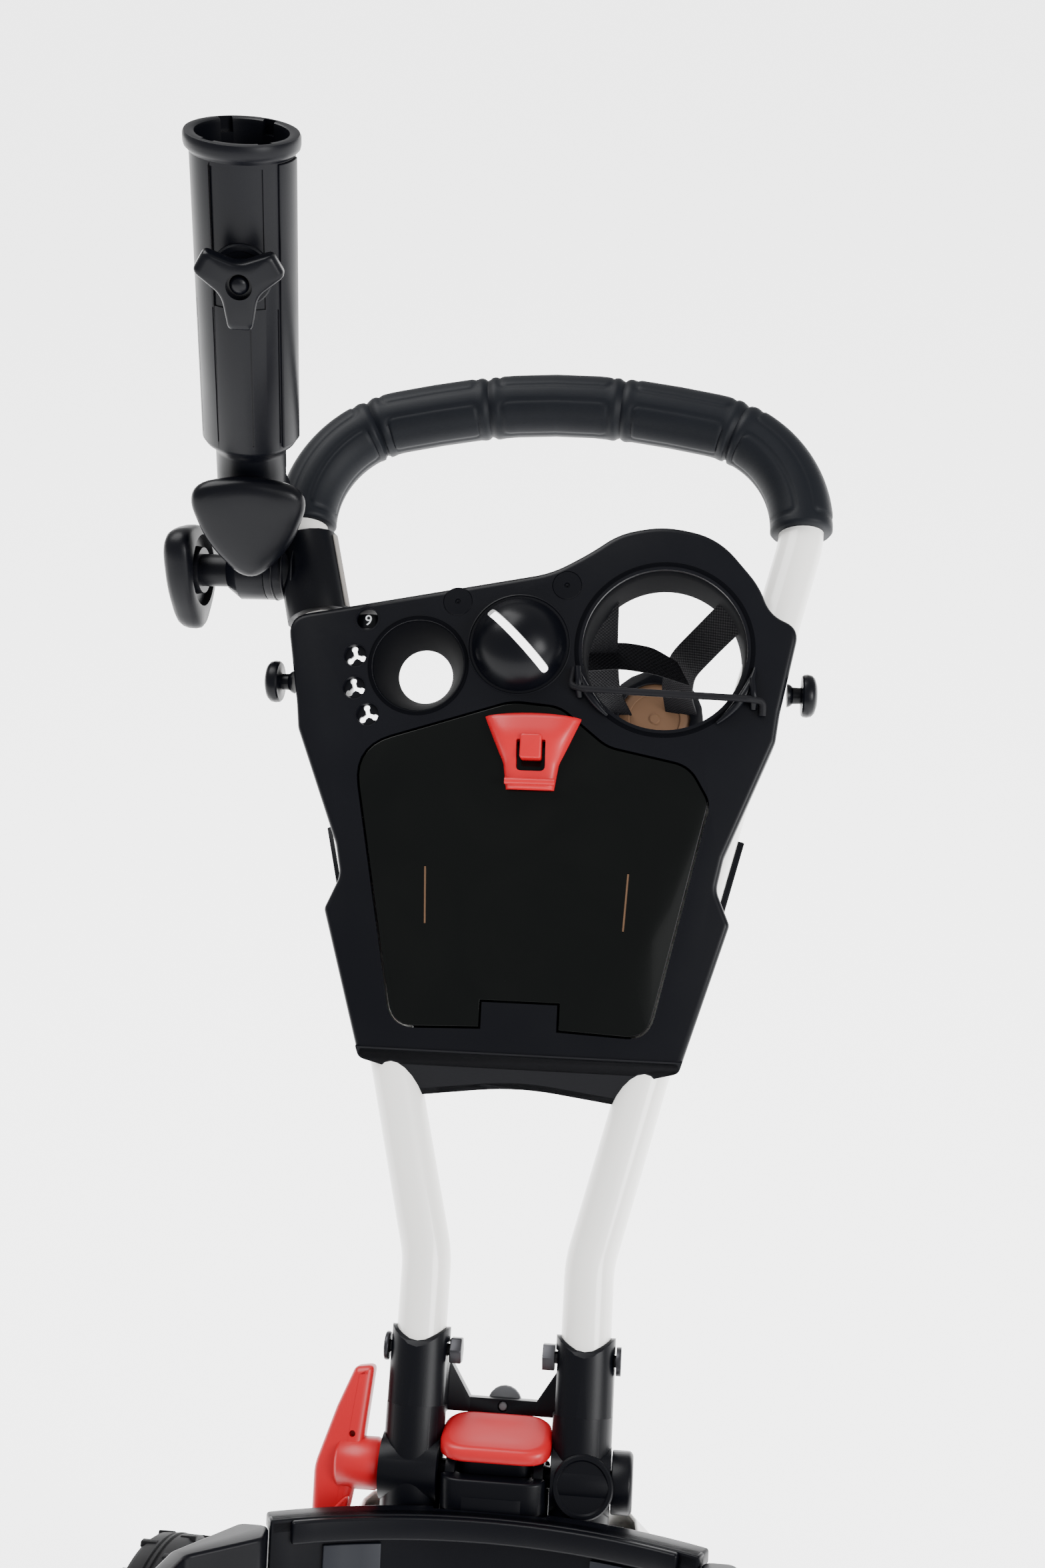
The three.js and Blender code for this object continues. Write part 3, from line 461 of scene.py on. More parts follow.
def moulded(name, dark, light, roughness, grain=1400, relief=0.12, slot="black_plastic", shine=0.14):
    finish = Finish(name, slot, Specular_IOR_Level=shine)
    cloud = finish.noise(9, 3)
    finish.feed(Base_Color=finish.mix(cloud, dark, light),
                Roughness=finish.noise(28, 4) * ROUGHNESS_DRIFT + (roughness - ROUGHNESS_DRIFT / 2))
    return finish.bumps(finish.noise(grain, 2), relief, 0.00015)


moulding = moulded("black_moulding", (0.0012, 0.0014, 0.0026), (0.0024, 0.0027, 0.0046), 0.36)
smooth_moulding = moulded("smooth_black_moulding", (0.0011, 0.0013, 0.0024), (0.0022, 0.0025, 0.0042), 0.3,
                          900, 0.06)
# A darker, duller copy of the black moulding for the cup ring and the ball cone: its lower gloss is
# roughness, and its darker colour is painted shade inside the holes.
moulding_painted_hole_shade = moulded("black_moulding_painted_hole_shade", (0.0008, 0.0009, 0.0016), (0.0016, 0.0018, 0.0028), 0.7,
                        shine=0.03)
# A lighter, bluer copy of the black moulding for the sunk panels of the bag cradle: its colour is painted
# blue sheen of the light on them.
panel_moulding_painted_sheen = moulded("black_panel_painted_sheen", (0.0050, 0.0062, 0.0105), (0.0085, 0.0105, 0.0160), 0.46,
                         shine=0.35)
grip_foam = moulded("grip_rubber", (0.0026, 0.0034, 0.0054), (0.0046, 0.0058, 0.0085), 0.5, 2600, 0.3,
                    "soft_grip")
grey_moulding = moulded("grey_moulding", (0.09, 0.092, 0.098), (0.13, 0.132, 0.14), 0.5, slot="grey_plastic")
digit_white = moulded("digit_white", (0.8, 0.82, 0.84), (0.9, 0.92, 0.93), 0.5, slot="grey_plastic")
red_moulding = moulded("red_moulding", (0.42, 0.004, 0.009), (0.50, 0.007, 0.014), 0.36, 700, 0.08,
                       "red_plastic", 0.35)

# %% [markdown]
# ### White enamel, smoked lid, webbing, rubber and metal
# Enamel is a thick glossy coat whose surface waves very slightly. The lid is polished, so only faint smears
# change its roughness. Webbing is woven, and two crossed sine waves on the cloth's own map raise its ribs,
# which stay true to the band where noise would not. The bolts are black-oxide steel.

# %% Other finishes
enamel = Finish("white_enamel", "white_paint", Coat_Weight=0.6, Coat_Roughness=0.06, Roughness=0.3)
enamel.feed(Base_Color=enamel.mix(enamel.noise(6, 2), (0.90, 0.885, 0.84), (0.94, 0.93, 0.90)))
enamel.bumps(enamel.noise(60, 1), 0.05, 0.0004)

smoked = Finish("smoked_lid", "smoked_plastic", Specular_IOR_Level=0.12, Coat_Weight=0.03,
                Coat_Roughness=0.03)
smear = smoked.make("ShaderNodeTexNoise", {},
                    {"Vector": smoked.place, "Scale": 14, "Detail": 4, "Distortion": 1.5})
smoked.feed(Base_Color=smoked.mix(smear, (0.0012, 0.0016, 0.0016), (0.0026, 0.0031, 0.0028)),
            Roughness=smear * 0.12 + 0.08)

RIBS_ALONG = 2200      # radians to a metre, so a rib every 2.9 mm
RIBS_ACROSS = 2900
webbing = Finish("woven_webbing", "webbing", Roughness=0.8, Specular_IOR_Level=0.12)
uv = webbing.make("ShaderNodeTexCoord", {}, {}, "UV")
along = webbing.make("ShaderNodeSeparateXYZ", {}, {"Vector": uv}, 0)
across = webbing.make("ShaderNodeSeparateXYZ", {}, {"Vector": uv}, 1)
ribs = (along * RIBS_ALONG).sine() * (across * RIBS_ACROSS).sine()
webbing.feed(Base_Color=webbing.mix(ribs * 0.5 + 0.5, (0.0006, 0.0006, 0.001), (0.005, 0.005, 0.007)))
webbing.bumps(ribs, 0.6, 0.0006)

rubber = moulded("tyre_rubber", (0.005, 0.005, 0.006), (0.009, 0.009, 0.01), 0.72, 500, 0.25, "tyre")
elastic = moulded("elastic_cord", (0.003, 0.003, 0.004), (0.006, 0.006, 0.008), 0.6, 900, 0.2, "rubber_cord")
dark_steel = Finish("black_oxide_steel", "steel", Metallic=0.7)
dark_steel.feed(Base_Color=dark_steel.mix(dark_steel.noise(40, 3), (0.02, 0.02, 0.024),
                                          (0.045, 0.045, 0.05)),
                Roughness=dark_steel.noise(120, 3) * 0.2 + 0.3)
# A pale warm grey for the slab at the umbrella clamp: painted shade of the white tube where it lies in
# shade.
tube_shade_paint = moulded("painted_tube_shade", (0.20, 0.185, 0.17), (0.28, 0.26, 0.245), 0.7, 800, 0.2)
brown_card = moulded("brown_base", (0.10, 0.055, 0.03), (0.15, 0.085, 0.05), 0.5, 300, 0.1)

# %% [markdown]
# ## Handle tube
# The real handle is one steel tube bent into a hoop. Separate straight and bent pieces would show their
# joins, so one route with true arcs is swept by a circle. The legs splay between the lower bend and the
# shoulder.

# %% Handle tube
TUBE_RADIUS = 12.7
HALF_GAP = 42          # from the middle to either tube at the hinge
TUBE_END = 24
BEND_UP = 102
SHOULDER_X = 158.9
SHOULDER_UP = 559.5
ARCH_UP = 592.2
SPLAY = (SHOULDER_X - HALF_GAP) / (SHOULDER_UP - BEND_UP)


def splayed_x(up):
    """How far a handle tube is from the middle at a height up the handle."""
    return HALF_GAP + (up - BEND_UP) * SPLAY


HALF_HOOP = [(HALF_GAP, TUBE_END, 0), (HALF_GAP, BEND_UP, 0, 60), (SHOULDER_X, SHOULDER_UP, 0, 66)]
HOOP = arc_run(HALF_HOOP + [(0, ARCH_UP, 0, 345)] + mirrored(HALF_HOOP), 4)
done(rod("handle_tube_enamel", HOOP, TUBE_RADIUS, 10), HANDLE, "handle", enamel, "handle_tube")

# %% [markdown]
# ## Grip
# The grip is a soft sleeve in five segments. A swept tube would be too plain, and cut grooves would break on
# the bends. So its skin is laid ring by ring along the hoop, and each ring's radius dips at the grooves
# between segments and along the outline of the raised panels.

# %% Grip
GRIP_RADIUS = 17.7
GRIP_FROM = 505        # the sleeve covers the hoop above this height
GROOVES = (-108, -39, 39, 108)
SEGMENTS = len(GROOVES) + 1


def panel_relief(along, around, length):
    """Height of the raised panels at a place on one segment, in millimetres."""
    reach = length / 2 - 6
    height = 0.0
    for middle in (-52, 52, 180):
        off = (around - middle + 180) % 360 - 180
        x = abs(along) - (reach - 5)
        y = abs(off) * 0.307 - 7
        gap = math.hypot(max(x, 0), max(y, 0)) + min(max(x, y), 0) - 4
        height -= 0.75 * math.exp(-(gap / 0.9) ** 2)
        height += 0.35 / (1 + math.exp(gap * 3))
    return height


def grip_skin():
    route = [point for point in HOOP if point.y > GRIP_FROM]
    lengths = [0.0]
    for a, b in zip(route, route[1:]):
        lengths.append(lengths[-1] + (b - a).length)
    total = lengths[-1]
    bounds = [-total / 2, *GROOVES, total / 2]
    stations = int(total / 1.4)
    sides = 96
    points = []
    for i in range(stations + 1):
        s = total * i / stations
        k = min(next(j for j in range(1, len(lengths)) if lengths[j] >= s - 1e-6), len(lengths) - 1)
        share = (s - lengths[k - 1]) / (lengths[k] - lengths[k - 1])
        centre = route[k - 1].lerp(route[k], share)
        before = route[max(k - 2, 0)]
        after = route[min(k + 1, len(route) - 1)]
        along = (after - before).normalized()
        inward = Vector((-along.y, along.x, 0))
        s -= total / 2
        segment = next(j for j in range(SEGMENTS) if s <= bounds[j + 1] + 1e-6)
        low, high = bounds[segment], bounds[segment + 1]
        radius = GRIP_RADIUS
        for groove in GROOVES:
            radius -= 1.5 * math.exp(-((s - groove) / 1.5) ** 2)
            radius += 0.35 * math.exp(-((abs(s - groove) - 4) / 2.2) ** 2)
        edge = total / 2 - abs(s)
        radius -= 1.2 * math.exp(-(edge / 0.8) ** 2)
        for side in range(sides):
            around = 360 * side / sides
            angle = math.radians(around)
            reach = radius + panel_relief(s - (low + high) / 2, around, high - low)
            points.append(centre + (Vector((0, 0, 1)) * math.cos(angle) + inward * math.sin(angle)) * reach)
    faces = [(i * sides + j, i * sides + (j + 1) % sides, (i + 1) * sides + (j + 1) % sides,
              (i + 1) * sides + j)
             for i in range(stations) for j in range(sides)]
    for ring in (0, stations):
        faces.append([ring * sides + j for j in range(sides)])
    return points, faces


skin_points, skin_faces = grip_skin()
grip = drawn("grip_sleeve", skin_points, faces=skin_faces)
with editing(grip):
    bpy.ops.mesh.normals_make_consistent(inside=False)
done(grip, HANDLE, "handle", grip_foam, "grip", smooth=60)

# %% [markdown]
# ## Console
# The console is one thin shell with a rounded rim. A flat plate with Solidify would leave no skirt, so the
# outline is extruded, a smaller copy is cut out from below to leave the wall, and the holes are cut through.
# Turned rings then give each hole its moulded lip. The lower strip is joined last, after every cut.

# %% Console outline and shell
SIDE = [(131.5, 116, 20), (129.5, 100, 12), (104, 37, 14), (100.5, 20, 12), (108, 2, 5), (84, -75.5, 5),
        (69, -79, 10), (55, -93.5, 6)]
TOP = [(-140, 163, 12), (6, 191, 60), (27, 203, 200), (42, 214, 200), (66, 219, 200), (96, 213, 200),
       (119, 186, 200), (125, 170, 200), (141, 163, 12)]
console_edge = rounded(TOP + SIDE + [(0, -86.5, 150)] + mirrored(SIDE))
TAB = 21
lid_edge = rounded([(-67, -58, 14), (-97, 90, 24), (-12, 117.5, 30), (14, 115, 20), (40, 94, 24),
                    (84, 85, 18),
                    (95, 66, 12), (67, -58.5, 14), (TAB, -56.5), (TAB, -42.5), (-TAB, -42.5), (-TAB, -56.5)])
CUP = (69, 149)
CONE = (-64.7, 136.6)
DOME = (-9.8, 149.6)
WINDOW = (-94.6, 162.1)
TEES = [(-99.9, 141.2), (-99.4, 123.2), (-91, 108.5)]
CAPS = [(-44.8, 173.1), (14.9, 183.5)]

SKIRT = 24
WALL = 3.2
FOLD_LINE = -70.6      # below it the face folds back
FOLD_BACK = 24

console = plate("console_shell", console_edge, -SKIRT, 0, top=WALL, segments=6)
cut(console, plate("hollow", grown(console_edge, -3), -26, -WALL))
tray = plate("tray_wall", grown(lid_edge, 4), -SKIRT, -2)
cut(console, tray, operation="UNION")
fold = moved(box("fold_cut", (-150, -40, 0), (150, 0, 30)), turn(FOLD_BACK, "X"), shift(0, FOLD_LINE, 0))
cut(console, fold)
cut(console, plate("tray_pocket", grown(lid_edge, 1.1), -21, 5),
    bar("cup_hole", 44.5, -60, 20, *CUP, steps=96), bar("cone_hole", 25.5, -60, 20, *CONE, steps=64),
    bar("dome_hole", 24, -60, 20, *DOME, steps=64), bar("window_hole", 6, -60, 20, *WINDOW),
    *[bar("tee_hole", 6.2, -60, 20, *place) for place in TEES],
    *[bar("cap_pocket", 8.1, -1.4, 20, *place) for place in CAPS])
for side in (-1, 1):
    leg = [(side * splayed_x(up), up, 0) for up in (120, 540)]
    cut(console, moved(rod("leg_channel", leg, TUBE_RADIUS + 0.4, 8), HANDLE, CONSOLE.inverted()))
strip_edge = rounded([(85.6, 1), (84, -5.4, 5), (69, -9.6, 8), (56, -25.5, 6), (0, -17.6, 150),
                      (-56, -25.5, 6), (-69, -9.6, 8), (-84, -5.4, 5), (-85.6, 1)])
strip = moved(plate("lower_strip", strip_edge, -WALL, 0), turn(FOLD_BACK, "X"), shift(0, FOLD_LINE, 0))
together(console, strip)
done(console, CONSOLE, "handle", moulding, "console")

# %% [markdown]
# ### Cup, cone and dome
# The cup opening, the ball cone and the marker dome are all round, so each is a profile spun about its own
# middle. The dome is a thin cap of a ball, and its slot lets light through, so it is cut right through.

# %% Rings of the console
cup_ring = spun("cup_ring", [(49.2, -1), (48.6, 0.15), (47.6, 0.5), (46.4, 0.2), (45, -1.4), (43.8, -4),
                             (43.2, -8), (43, -38), (45.6, -38), (46.2, -8), (47, -4)], 128)
# The cup ring wears the darker copy of the moulding, whose colour is painted shade inside the cup.
done(cup_ring, CONSOLE @ shift(*CUP, 0), "handle", moulding_painted_hole_shade)
cone_ring = spun("ball_cone", [(28.4, -1), (27.8, 0.3), (26.8, 0.6), (25.9, 0.1), (24.6, -2), (20, -13),
                               (16.4, -24), (15.3, -28), (17.6, -28), (19, -23), (23, -12), (26, -4)], 96)
# The ball cone wears the same darker copy, whose colour is painted shade inside the cone.
done(cone_ring, CONSOLE @ shift(*CONE, 0), "handle", moulding_painted_hole_shade)
DOME_RADIUS = 26
DOME_HEIGHT = 20
ball = (DOME_RADIUS ** 2 + DOME_HEIGHT ** 2) / (2 * DOME_HEIGHT)


def cap_curve(scale=1.0, drop=0.0, steps=14):
    """The profile of a cap of a ball, from its pole to its rim."""
    angles = [math.asin(DOME_RADIUS / ball) * k / steps for k in range(steps + 1)]
    return [(ball * math.sin(a) * scale, (ball * math.cos(a) - ball + DOME_HEIGHT) * scale - drop)
            for a in angles]


dome = spun("marker_dome", cap_curve() + [(26.6, -1.2), (24.2, -1.6)] + cap_curve(0.91, 0.4)[::-1], 96)
cut(dome, moved(plate("slot", rounded([(-2.3, -23, 2.2), (2.3, -23, 2.2), (2.3, 23, 2.2), (-2.3, 23, 2.2)]),
                      -30, 30),
                turn(45, "Z")))
done(dome, CONSOLE @ shift(*DOME, 0), "handle", smooth_moulding)
groove = spun("dome_seat", [(28.6, -1.5), (28.2, 0.25), (27.6, 0.4), (27.0, -0.2), (26.8, -1.5)], 96)
done(groove, CONSOLE @ shift(*DOME, 0), "handle", moulding)
for side, place in zip(("left", "right"), CAPS):
    cap = spun(f"screw_cap_{side}_disc", [(0, -1.2), (8, -1.2), (8, -0.3), (7.7, -0.05), (1.5, 0.05),
                                          (1.2, -0.5), (0.7, -0.5), (0.5, 0.3), (0, 0.4)], 48)
    done(cap, CONSOLE @ shift(*place, 0), "handle", smooth_moulding, f"screw_cap_{side}")

# %% [markdown]
# ### Tee holders and score drum
# Each tee holder is a thin disc with a three-armed opening that springs round a tee. Its arms are one box
# and one round end, cut three times. The score drum turns on its own axle and shows one white digit in its
# window.

# %% Tee holders and the score drum
for number, place in enumerate(TEES):
    disc = bar("tee_disc", 6.6, -4.4, -2.6)
    for k in range(3):
        arm = box("arm", (-1.15, 0, -6), (1.15, 4.6, 0))
        cut(disc, moved(arm, turn(120 * k + 14, "Z")))
        knob_end = bar("arm_end", 1.75, -6, 0, 0, 4.0, 16)
        cut(disc, moved(knob_end, turn(120 * k + 14, "Z")))
    lip = spun("tee_lip", [(7.2, -0.6), (6.9, 0.15), (6.4, 0.1), (5.9, -0.8), (5.9, -4.4), (6.6, -4.4),
                           (6.6, -1)], 48)
    done(together(disc, lip), CONSOLE @ shift(*place, 0), "handle", moulding)
    disc.name = f"tee_holder_{number + 1}"
drum = spun("score_drum", [(0, -4.2), (11.4, -4.2), (12, -3.8), (12, 3.8), (11.4, 4.2), (0, 4.2)], 48)
moved(drum, ALONG_Y)
done(drum, CONSOLE @ shift(WINDOW[0], WINDOW[1] - 0.4, -15.8), "drum", smooth_moulding, "number_drum")
bpy.ops.object.text_add()
digit = bpy.context.active_object
digit.data.body = "9"
digit.data.align_x = digit.data.align_y = "CENTER"
digit.data.size = 0.0083
digit.data.extrude = 0.00005
bpy.ops.object.convert(target="MESH")
digit.name = "score_digit"
done(digit, CONSOLE @ shift(WINDOW[0], WINDOW[1] - 0.2, -3.7), "drum", digit_white)
lip = spun("window_lip", [(7.4, -0.6), (7.1, 0.15), (6.5, 0.1), (5.9, -0.8), (5.9, -3), (7, -3)], 48)
done(lip, CONSOLE @ shift(*WINDOW, 0), "handle", moulding)

# %% [markdown]
# ## Lid and latch
# The lid is a polished smoked plate with a fine bevel, and two slits that hold a scorecard. An extruded
# outline is enough for it.

# %% Lid
lid = plate("lid_plate", lid_edge, -2.6, -0.2, top=0.5, segments=3)
for side in (-1, 1):
    slit = rounded([(-0.55, -15.5, 0.5), (0.55, -15.5, 0.5), (0.55, 15.5, 0.5), (-0.55, 15.5, 0.5)])
    cut(lid, moved(plate("slit", slit, -5, 3), turn(-3 * side, "Z"), shift(53.4 * side, 11.5, 0)))
done(lid, CONSOLE, "lid_body", smoked, "lid")
for side, name in ((-1, "left"), (1, "right")):
    strip = box(f"card_clip_{name}", (-0.5, -15.2, -1.8), (0.5, 15.2, -0.5))
    moved(strip, turn(-3 * side, "Z"), shift(53.4 * side, 11.5, 0))
    done(strip, CONSOLE, "lid_body", brown_card)

# %% [markdown]
# ### Latch
# The latch is a bowl-shaped red moulding with a window that a square thumb tongue bridges. Its width and its
# swell both change up the lid, which no extrusion gives, so it is a skin laid through cross sections.

# %% Latch
def latch_half_width(height):
    """Half the latch's width at a height up the lid: a round bowl above a slightly flared foot."""
    if height > 84:
        return 15 + 11 * ((height - 84) / 24.5) ** 0.95
    return 13 + 2 * (height - 70) / 14


latch_rings = []
for height in (69.6, 70, 71, 73, 76, 80, 83, 85, 88, 92, 96, 100, 103, 105.5, 107, 108.2, 109):
    half = latch_half_width(min(height, 108.4))
    swell = 4.2 + 3.2 * math.sin(math.pi * min(1, max(0, (height - 84) / 25)))
    edge = min(1, (height - 69) / 1.6, (109.8 - height) / 1.6)
    ring = [(-half, height, 0.2)]
    for k in range(25):
        x = -1 + k / 12
        crown = (1 - abs(x) ** 6) ** 0.5
        ring.append((half * x, height + 2.2 * (1 - x * x) * (height > 104) * (height - 104) / 5,
                     0.3 + swell * crown * (0.35 + 0.65 * edge)))
    ring.append((half, height, 0.2))
    latch_rings.append(ring)
latch = skin("latch_body", latch_rings)
cut(latch, plate("latch_window", rounded([(-7.8, 96, 1), (-7.8, 79.4, 3), (7.8, 79.4, 3), (7.8, 96, 1)]),
                 -3, 16))
tongue = plate("tongue", rounded([(-5.8, 99, 2), (-5.8, 85.5, 1.6), (5.8, 85.5, 1.6), (5.8, 99, 2)]), 0.3,
               9.4, top=1.2)
lip = moved(bar("lip", 1.9, -13.4, 13.4, steps=24), ALONG_X, shift(0, 73.6, 4.6))
together(latch, tongue, lip)
done(latch, CONSOLE, "latch", red_moulding, "lid_latch", smooth=50)

# %% [markdown]
# ## Small parts round the console
# Mushroom-shaped hooks at both ears take an elastic cord, and two curved ribs at the cup hold the elastic
# band. The hooks are turned, and the ribs, the band and its hooks are rods whose thickness changes along the
# way.

# %% Cord hooks, ribs and band
for side, name in ((-1, "left"), (1, "right")):
    hook = spun(f"cord_hook_{name}_knob", [(0, 0), (6.4, 0), (6, 1.4), (4.6, 3), (4.4, 7), (5.4, 7.6),
                                           (10.6, 7.8),
                                           (11.4, 8.6), (11.7, 10.6), (11.2, 13), (9.6, 14.6), (6, 15.8),
                                           (3.2, 16),
                                           (2.8, 15.4), (0, 15.4)], 64)
    moved(hook, turn(90 * side, "Y"), shift(side * 135.6, 128, -12))
    done(hook, CONSOLE, "handle", smooth_moulding, f"cord_hook_{name}")

for name, first, last, middle in (("left", 196, 232, 47.6), ("right", -54, -11, 49.5)):
    angles = [math.radians(first + (last - first) * k / 12) for k in range(13)]
    route = [(CUP[0] + middle * math.cos(a), CUP[1] + middle * math.sin(a),
              1.4 + 2.2 * math.sin(math.pi * k / 12))
             for k, a in enumerate(angles)]
    done(rod(f"cup_rib_{name}", route, [0.9 + 1.5 * math.sin(math.pi * k / 12) for k in range(13)], 6),
         CONSOLE, "handle", moulding)
band_route = arc_run([(21, 137, 1.5, 0), (19.6, 127, 3, 3), (27, 124.6, 6, 5), (114, 121.6, 6, 5),
                      (122, 121, 4, 3), (122, 113.5, 2, 0)], 15)
done(rod("bottle_band_cord", band_route, 1.9, 6), CONSOLE, "handle", elastic, "bottle_band")
for name, x, y in (("left", 24.5, 131), ("right", 117.5, 127)):
    hooked = arc_run([(x, y - 9, 0.5, 0), (x - 0.6, y - 3, 6, 5), (x - 1.6, y + 6, 5, 0)], 20)
    thickness = [2.2 - 0.6 * k / (len(hooked) - 1) for k in range(len(hooked))]
    done(rod(f"band_hook_{name}", hooked, thickness, 6), CONSOLE, "handle", moulding)

# %% [markdown]
# ## Bottle harness
# Webbing hangs from the cup's wall and is sewn to a ring that holds a brown base disc. Simulated cloth would
# stretch such short taut bands, so they are drawn. A band is a flat ribbon: at each station of its line it
# is as wide as the cloth, its line is smoothed three times, and Solidify gives it its thickness.

# %% Webbing
def ribbon(name, stations, width, thickness=1.4, joined=()):
    """A webbing band through (point, width direction) stations, with its length and width as its UV map."""
    rows = []
    for k in range(len(stations) - 1):
        (here, side), (there, other) = stations[k], stations[k + 1]
        rows += [(Vector(here).lerp(Vector(there), t / 6),
                  Vector(side).lerp(Vector(other), t / 6)) for t in range(6)]
    rows.append((Vector(stations[-1][0]), Vector(stations[-1][1])))
    for _ in range(3):
        rows = [rows[0]] + [((a[0] + b[0] * 2 + c[0]) / 4, (a[1] + b[1] * 2 + c[1]) / 4)
                            for a, b, c in zip(rows, rows[1:], rows[2:])] + [rows[-1]]
    length = sum((b[0] - a[0]).length for a, b in zip(rows, rows[1:]))
    across = [-0.5, -0.25, 0, 0.25, 0.5]
    points = [middle + side.normalized() * width * share for middle, side in rows for share in across]
    faces = [(i * 5 + j, i * 5 + j + 1, i * 5 + j + 6,
              i * 5 + j + 5) for i in range(len(rows) - 1) for j in range(4)]
    band = drawn(name, points, faces=faces)
    layer = band.data.uv_layers.new(name="cloth")
    for loop in band.data.loops:
        row, column = divmod(loop.vertex_index, 5)
        layer.data[loop.index].uv = (row / (len(rows) - 1) * length * MM, column / 4 * width * MM)
    changed(band, "SOLIDIFY", thickness=thickness * MM, offset=0)
    changed(band, "BEVEL", width=0.3 * MM, segments=2, limit_method="ANGLE", angle_limit=1)
    done(band, CONSOLE, "handle", webbing, *joined)
    print(f"  {name}: {length:.0f} mm of {width} mm webbing")
    return band


ACROSS, UPWARDS = (1, 0, 0), (0, 1, 0)
ribbon("strap_left", [((33, 190, -14), ACROSS), ((32, 176, -40), ACROSS), ((31, 163, -70), ACROSS),
                      ((32, 148, -100), ACROSS), ((40, 138, -131), ACROSS)], 20,
       joined=["bottle_strap_left"])
ribbon("strap_right", [((107, 175, -16), (-0.6, 0.8, 0)), ((93, 167, -45), (-0.6, 0.8, 0)),
                       ((79, 157, -68), (-0.7, 0.7, 0.1)), ((76, 149, -98), (-0.9, 0.4, 0)),
                       ((80, 140, -131), (-1, 0.1, 0))], 20, joined=["bottle_strap_right"])
ribbon("strap_cross", [((24, 160.5, -69), UPWARDS), ((44, 162, -68), (0.1, 1, 0)),
                       ((62, 159, -66), (-0.1, 1, 0)),
                       ((80, 151, -64), (-0.5, 0.9, 0))], 16, joined=["bottle_strap_front"])
base_disc = spun("base_disc", [(0, -2), (22.4, -2), (22.4, 1.4), (21.6, 2), (16, 2.2), (15.4, 1.4),
                               (3.4, 1.4), (2.6, 2.6), (0, 2.8)], 72)
done(base_disc, CONSOLE @ shift(63, 137, -128), "handle", brown_card)

# %% [markdown]
# ## Umbrella holder
# The holder is a stout tube on a knuckle that turns two ways, with a big knob for each turn and a small one
# that pinches the umbrella. The tube is turned, and curved slabs cut its front panel, its seams and the
# notches of its rim, because a slab that follows the tube cuts to one depth all the way.

# %% Umbrella tube
def sector(name, inner, outer, low, high, start, end):
    """A curved slab about Z; its angles run from the front towards the right."""
    steps = max(3, round(abs(end - start) / 2.5))
    angles = [math.radians(start + (end - start) * k / steps) for k in range(steps + 1)]
    outline = [Vector((outer * math.sin(a), -outer * math.cos(a))) for a in angles]
    outline += [Vector((inner * math.sin(a), -inner * math.cos(a))) for a in reversed(angles)]
    return plate(name, outline, low, high)


KNOB_UP = 137
tube = spun("umbrella_tube_body", [
    (0, 21), (19.3, 21), (19.3, 31), (20.4, 34), (24.6, 37.4), (26.2, 40), (26.2, 190), (27.2, 191.2),
    (28.6, 192.6),
    (29, 194.4), (29, 197.8), (28.3, 199.2), (27, 199.5), (24.4, 199.5), (23.3, 198.9), (23, 197), (23, 42),
    (21, 40),
    (0, 40)], 144)
cut(tube, sector("front_panel", 25.5, 30, 119, 188, -35, 26))
for start in (-44, 22, 142, 196):
    cut(tube, sector("rim_notch", 21, 26, 192.5, 203, start, start + 16))
for angle in (-72, -37, 7, 41):
    cut(tube, sector("seam", 25.7, 27, 44, 118, angle, angle + 1.6))
foot = moved(bar("foot", 19.2, 1.4, 12, steps=64), FACING_FRONT)
neck = bar("neck", 19.3, 0, 26, steps=64)
cut(neck, box("back_half", (-30, -1.4, -5), (30, 30, 40)))
strip = softened(sector("side_strip", 25.4, 27.2, 41, 189.5, 45, 84), 0.5)
boss = moved(spun("boss", [(0, 24.6), (15.6, 24.6), (15.6, 26.6), (14.8, 27.4), (12.4, 27.5), (12, 26.9),
                           (9, 26.9), (9, 34.2), (0, 34.2)], 64), FACING_FRONT, shift(0, 0, KNOB_UP))
done(together(tube, foot, neck, strip, boss), HOLDER, "umbrella_holder", moulding, "umbrella_tube")

# %% [markdown]
# ### Knobs
# The knobs are crowned: their outline is stacked in rings that draw in towards the face. A bevel alone would
# leave a flat face. Corner arms come from three rounded points with a bulging or a hollow side between them.

# %% Knobs
def three_cornered(tip, side, rounding, side_rounding, width=0, start=90):
    """Outline with three corners; a pair of points a little apart makes each corner an arm."""
    corners = []
    for k in range(3):
        for offset in ((-width, width) if width else (0,)):
            angle = math.radians(start + 120 * k + offset)
            corners.append((tip * math.cos(angle), tip * math.sin(angle), rounding))
        angle = math.radians(start + 120 * k + 60)
        corners.append((side * math.cos(angle), side * math.sin(angle), side_rounding))
    return rounded(corners, 9)


def domed(name, outline, profile):
    """An outline stacked at (scale, height) steps about its middle."""
    return skin(name, [[(point.x * scale, point.y * scale, height) for point in outline] for scale,
                       height in profile])


CROWN = [(0.5, 0), (0.92, 0.02), (0.98, 0.11), (1, 0.27), (0.995, 0.47), (0.965, 0.66), (0.91, 0.79),
         (0.82, 0.88), (0.68, 0.945), (0.5, 0.98), (0.3, 0.997), (0.1, 1)]
BIG_KNOB = (41, 27.3, 16, 60)      # corner and side distances, and how far each is rounded
pick = three_cornered(*BIG_KNOB, start=-90)
front_knob = together(domed("front_knob_head", pick, [(scale, height * 12) for scale, height in CROWN]),
                      bar("hub", 12, -2.2, 1))
done(front_knob, HOLDER @ shift(0, -22.6, 0) @ FACING_FRONT, "front_knob", smooth_moulding,
     "umbrella_front_knob",
     smooth=50)
side_knob = domed("side_knob_head", three_cornered(*BIG_KNOB),
                  [(scale, height * 18) for scale, height in CROWN])
cut(side_knob, spun("hollow_back", [(13, -1), (21, -1), (20, 4), (14, 4)], 48))
together(side_knob, bar("stud", 9.4, -16.5, 2, steps=48))
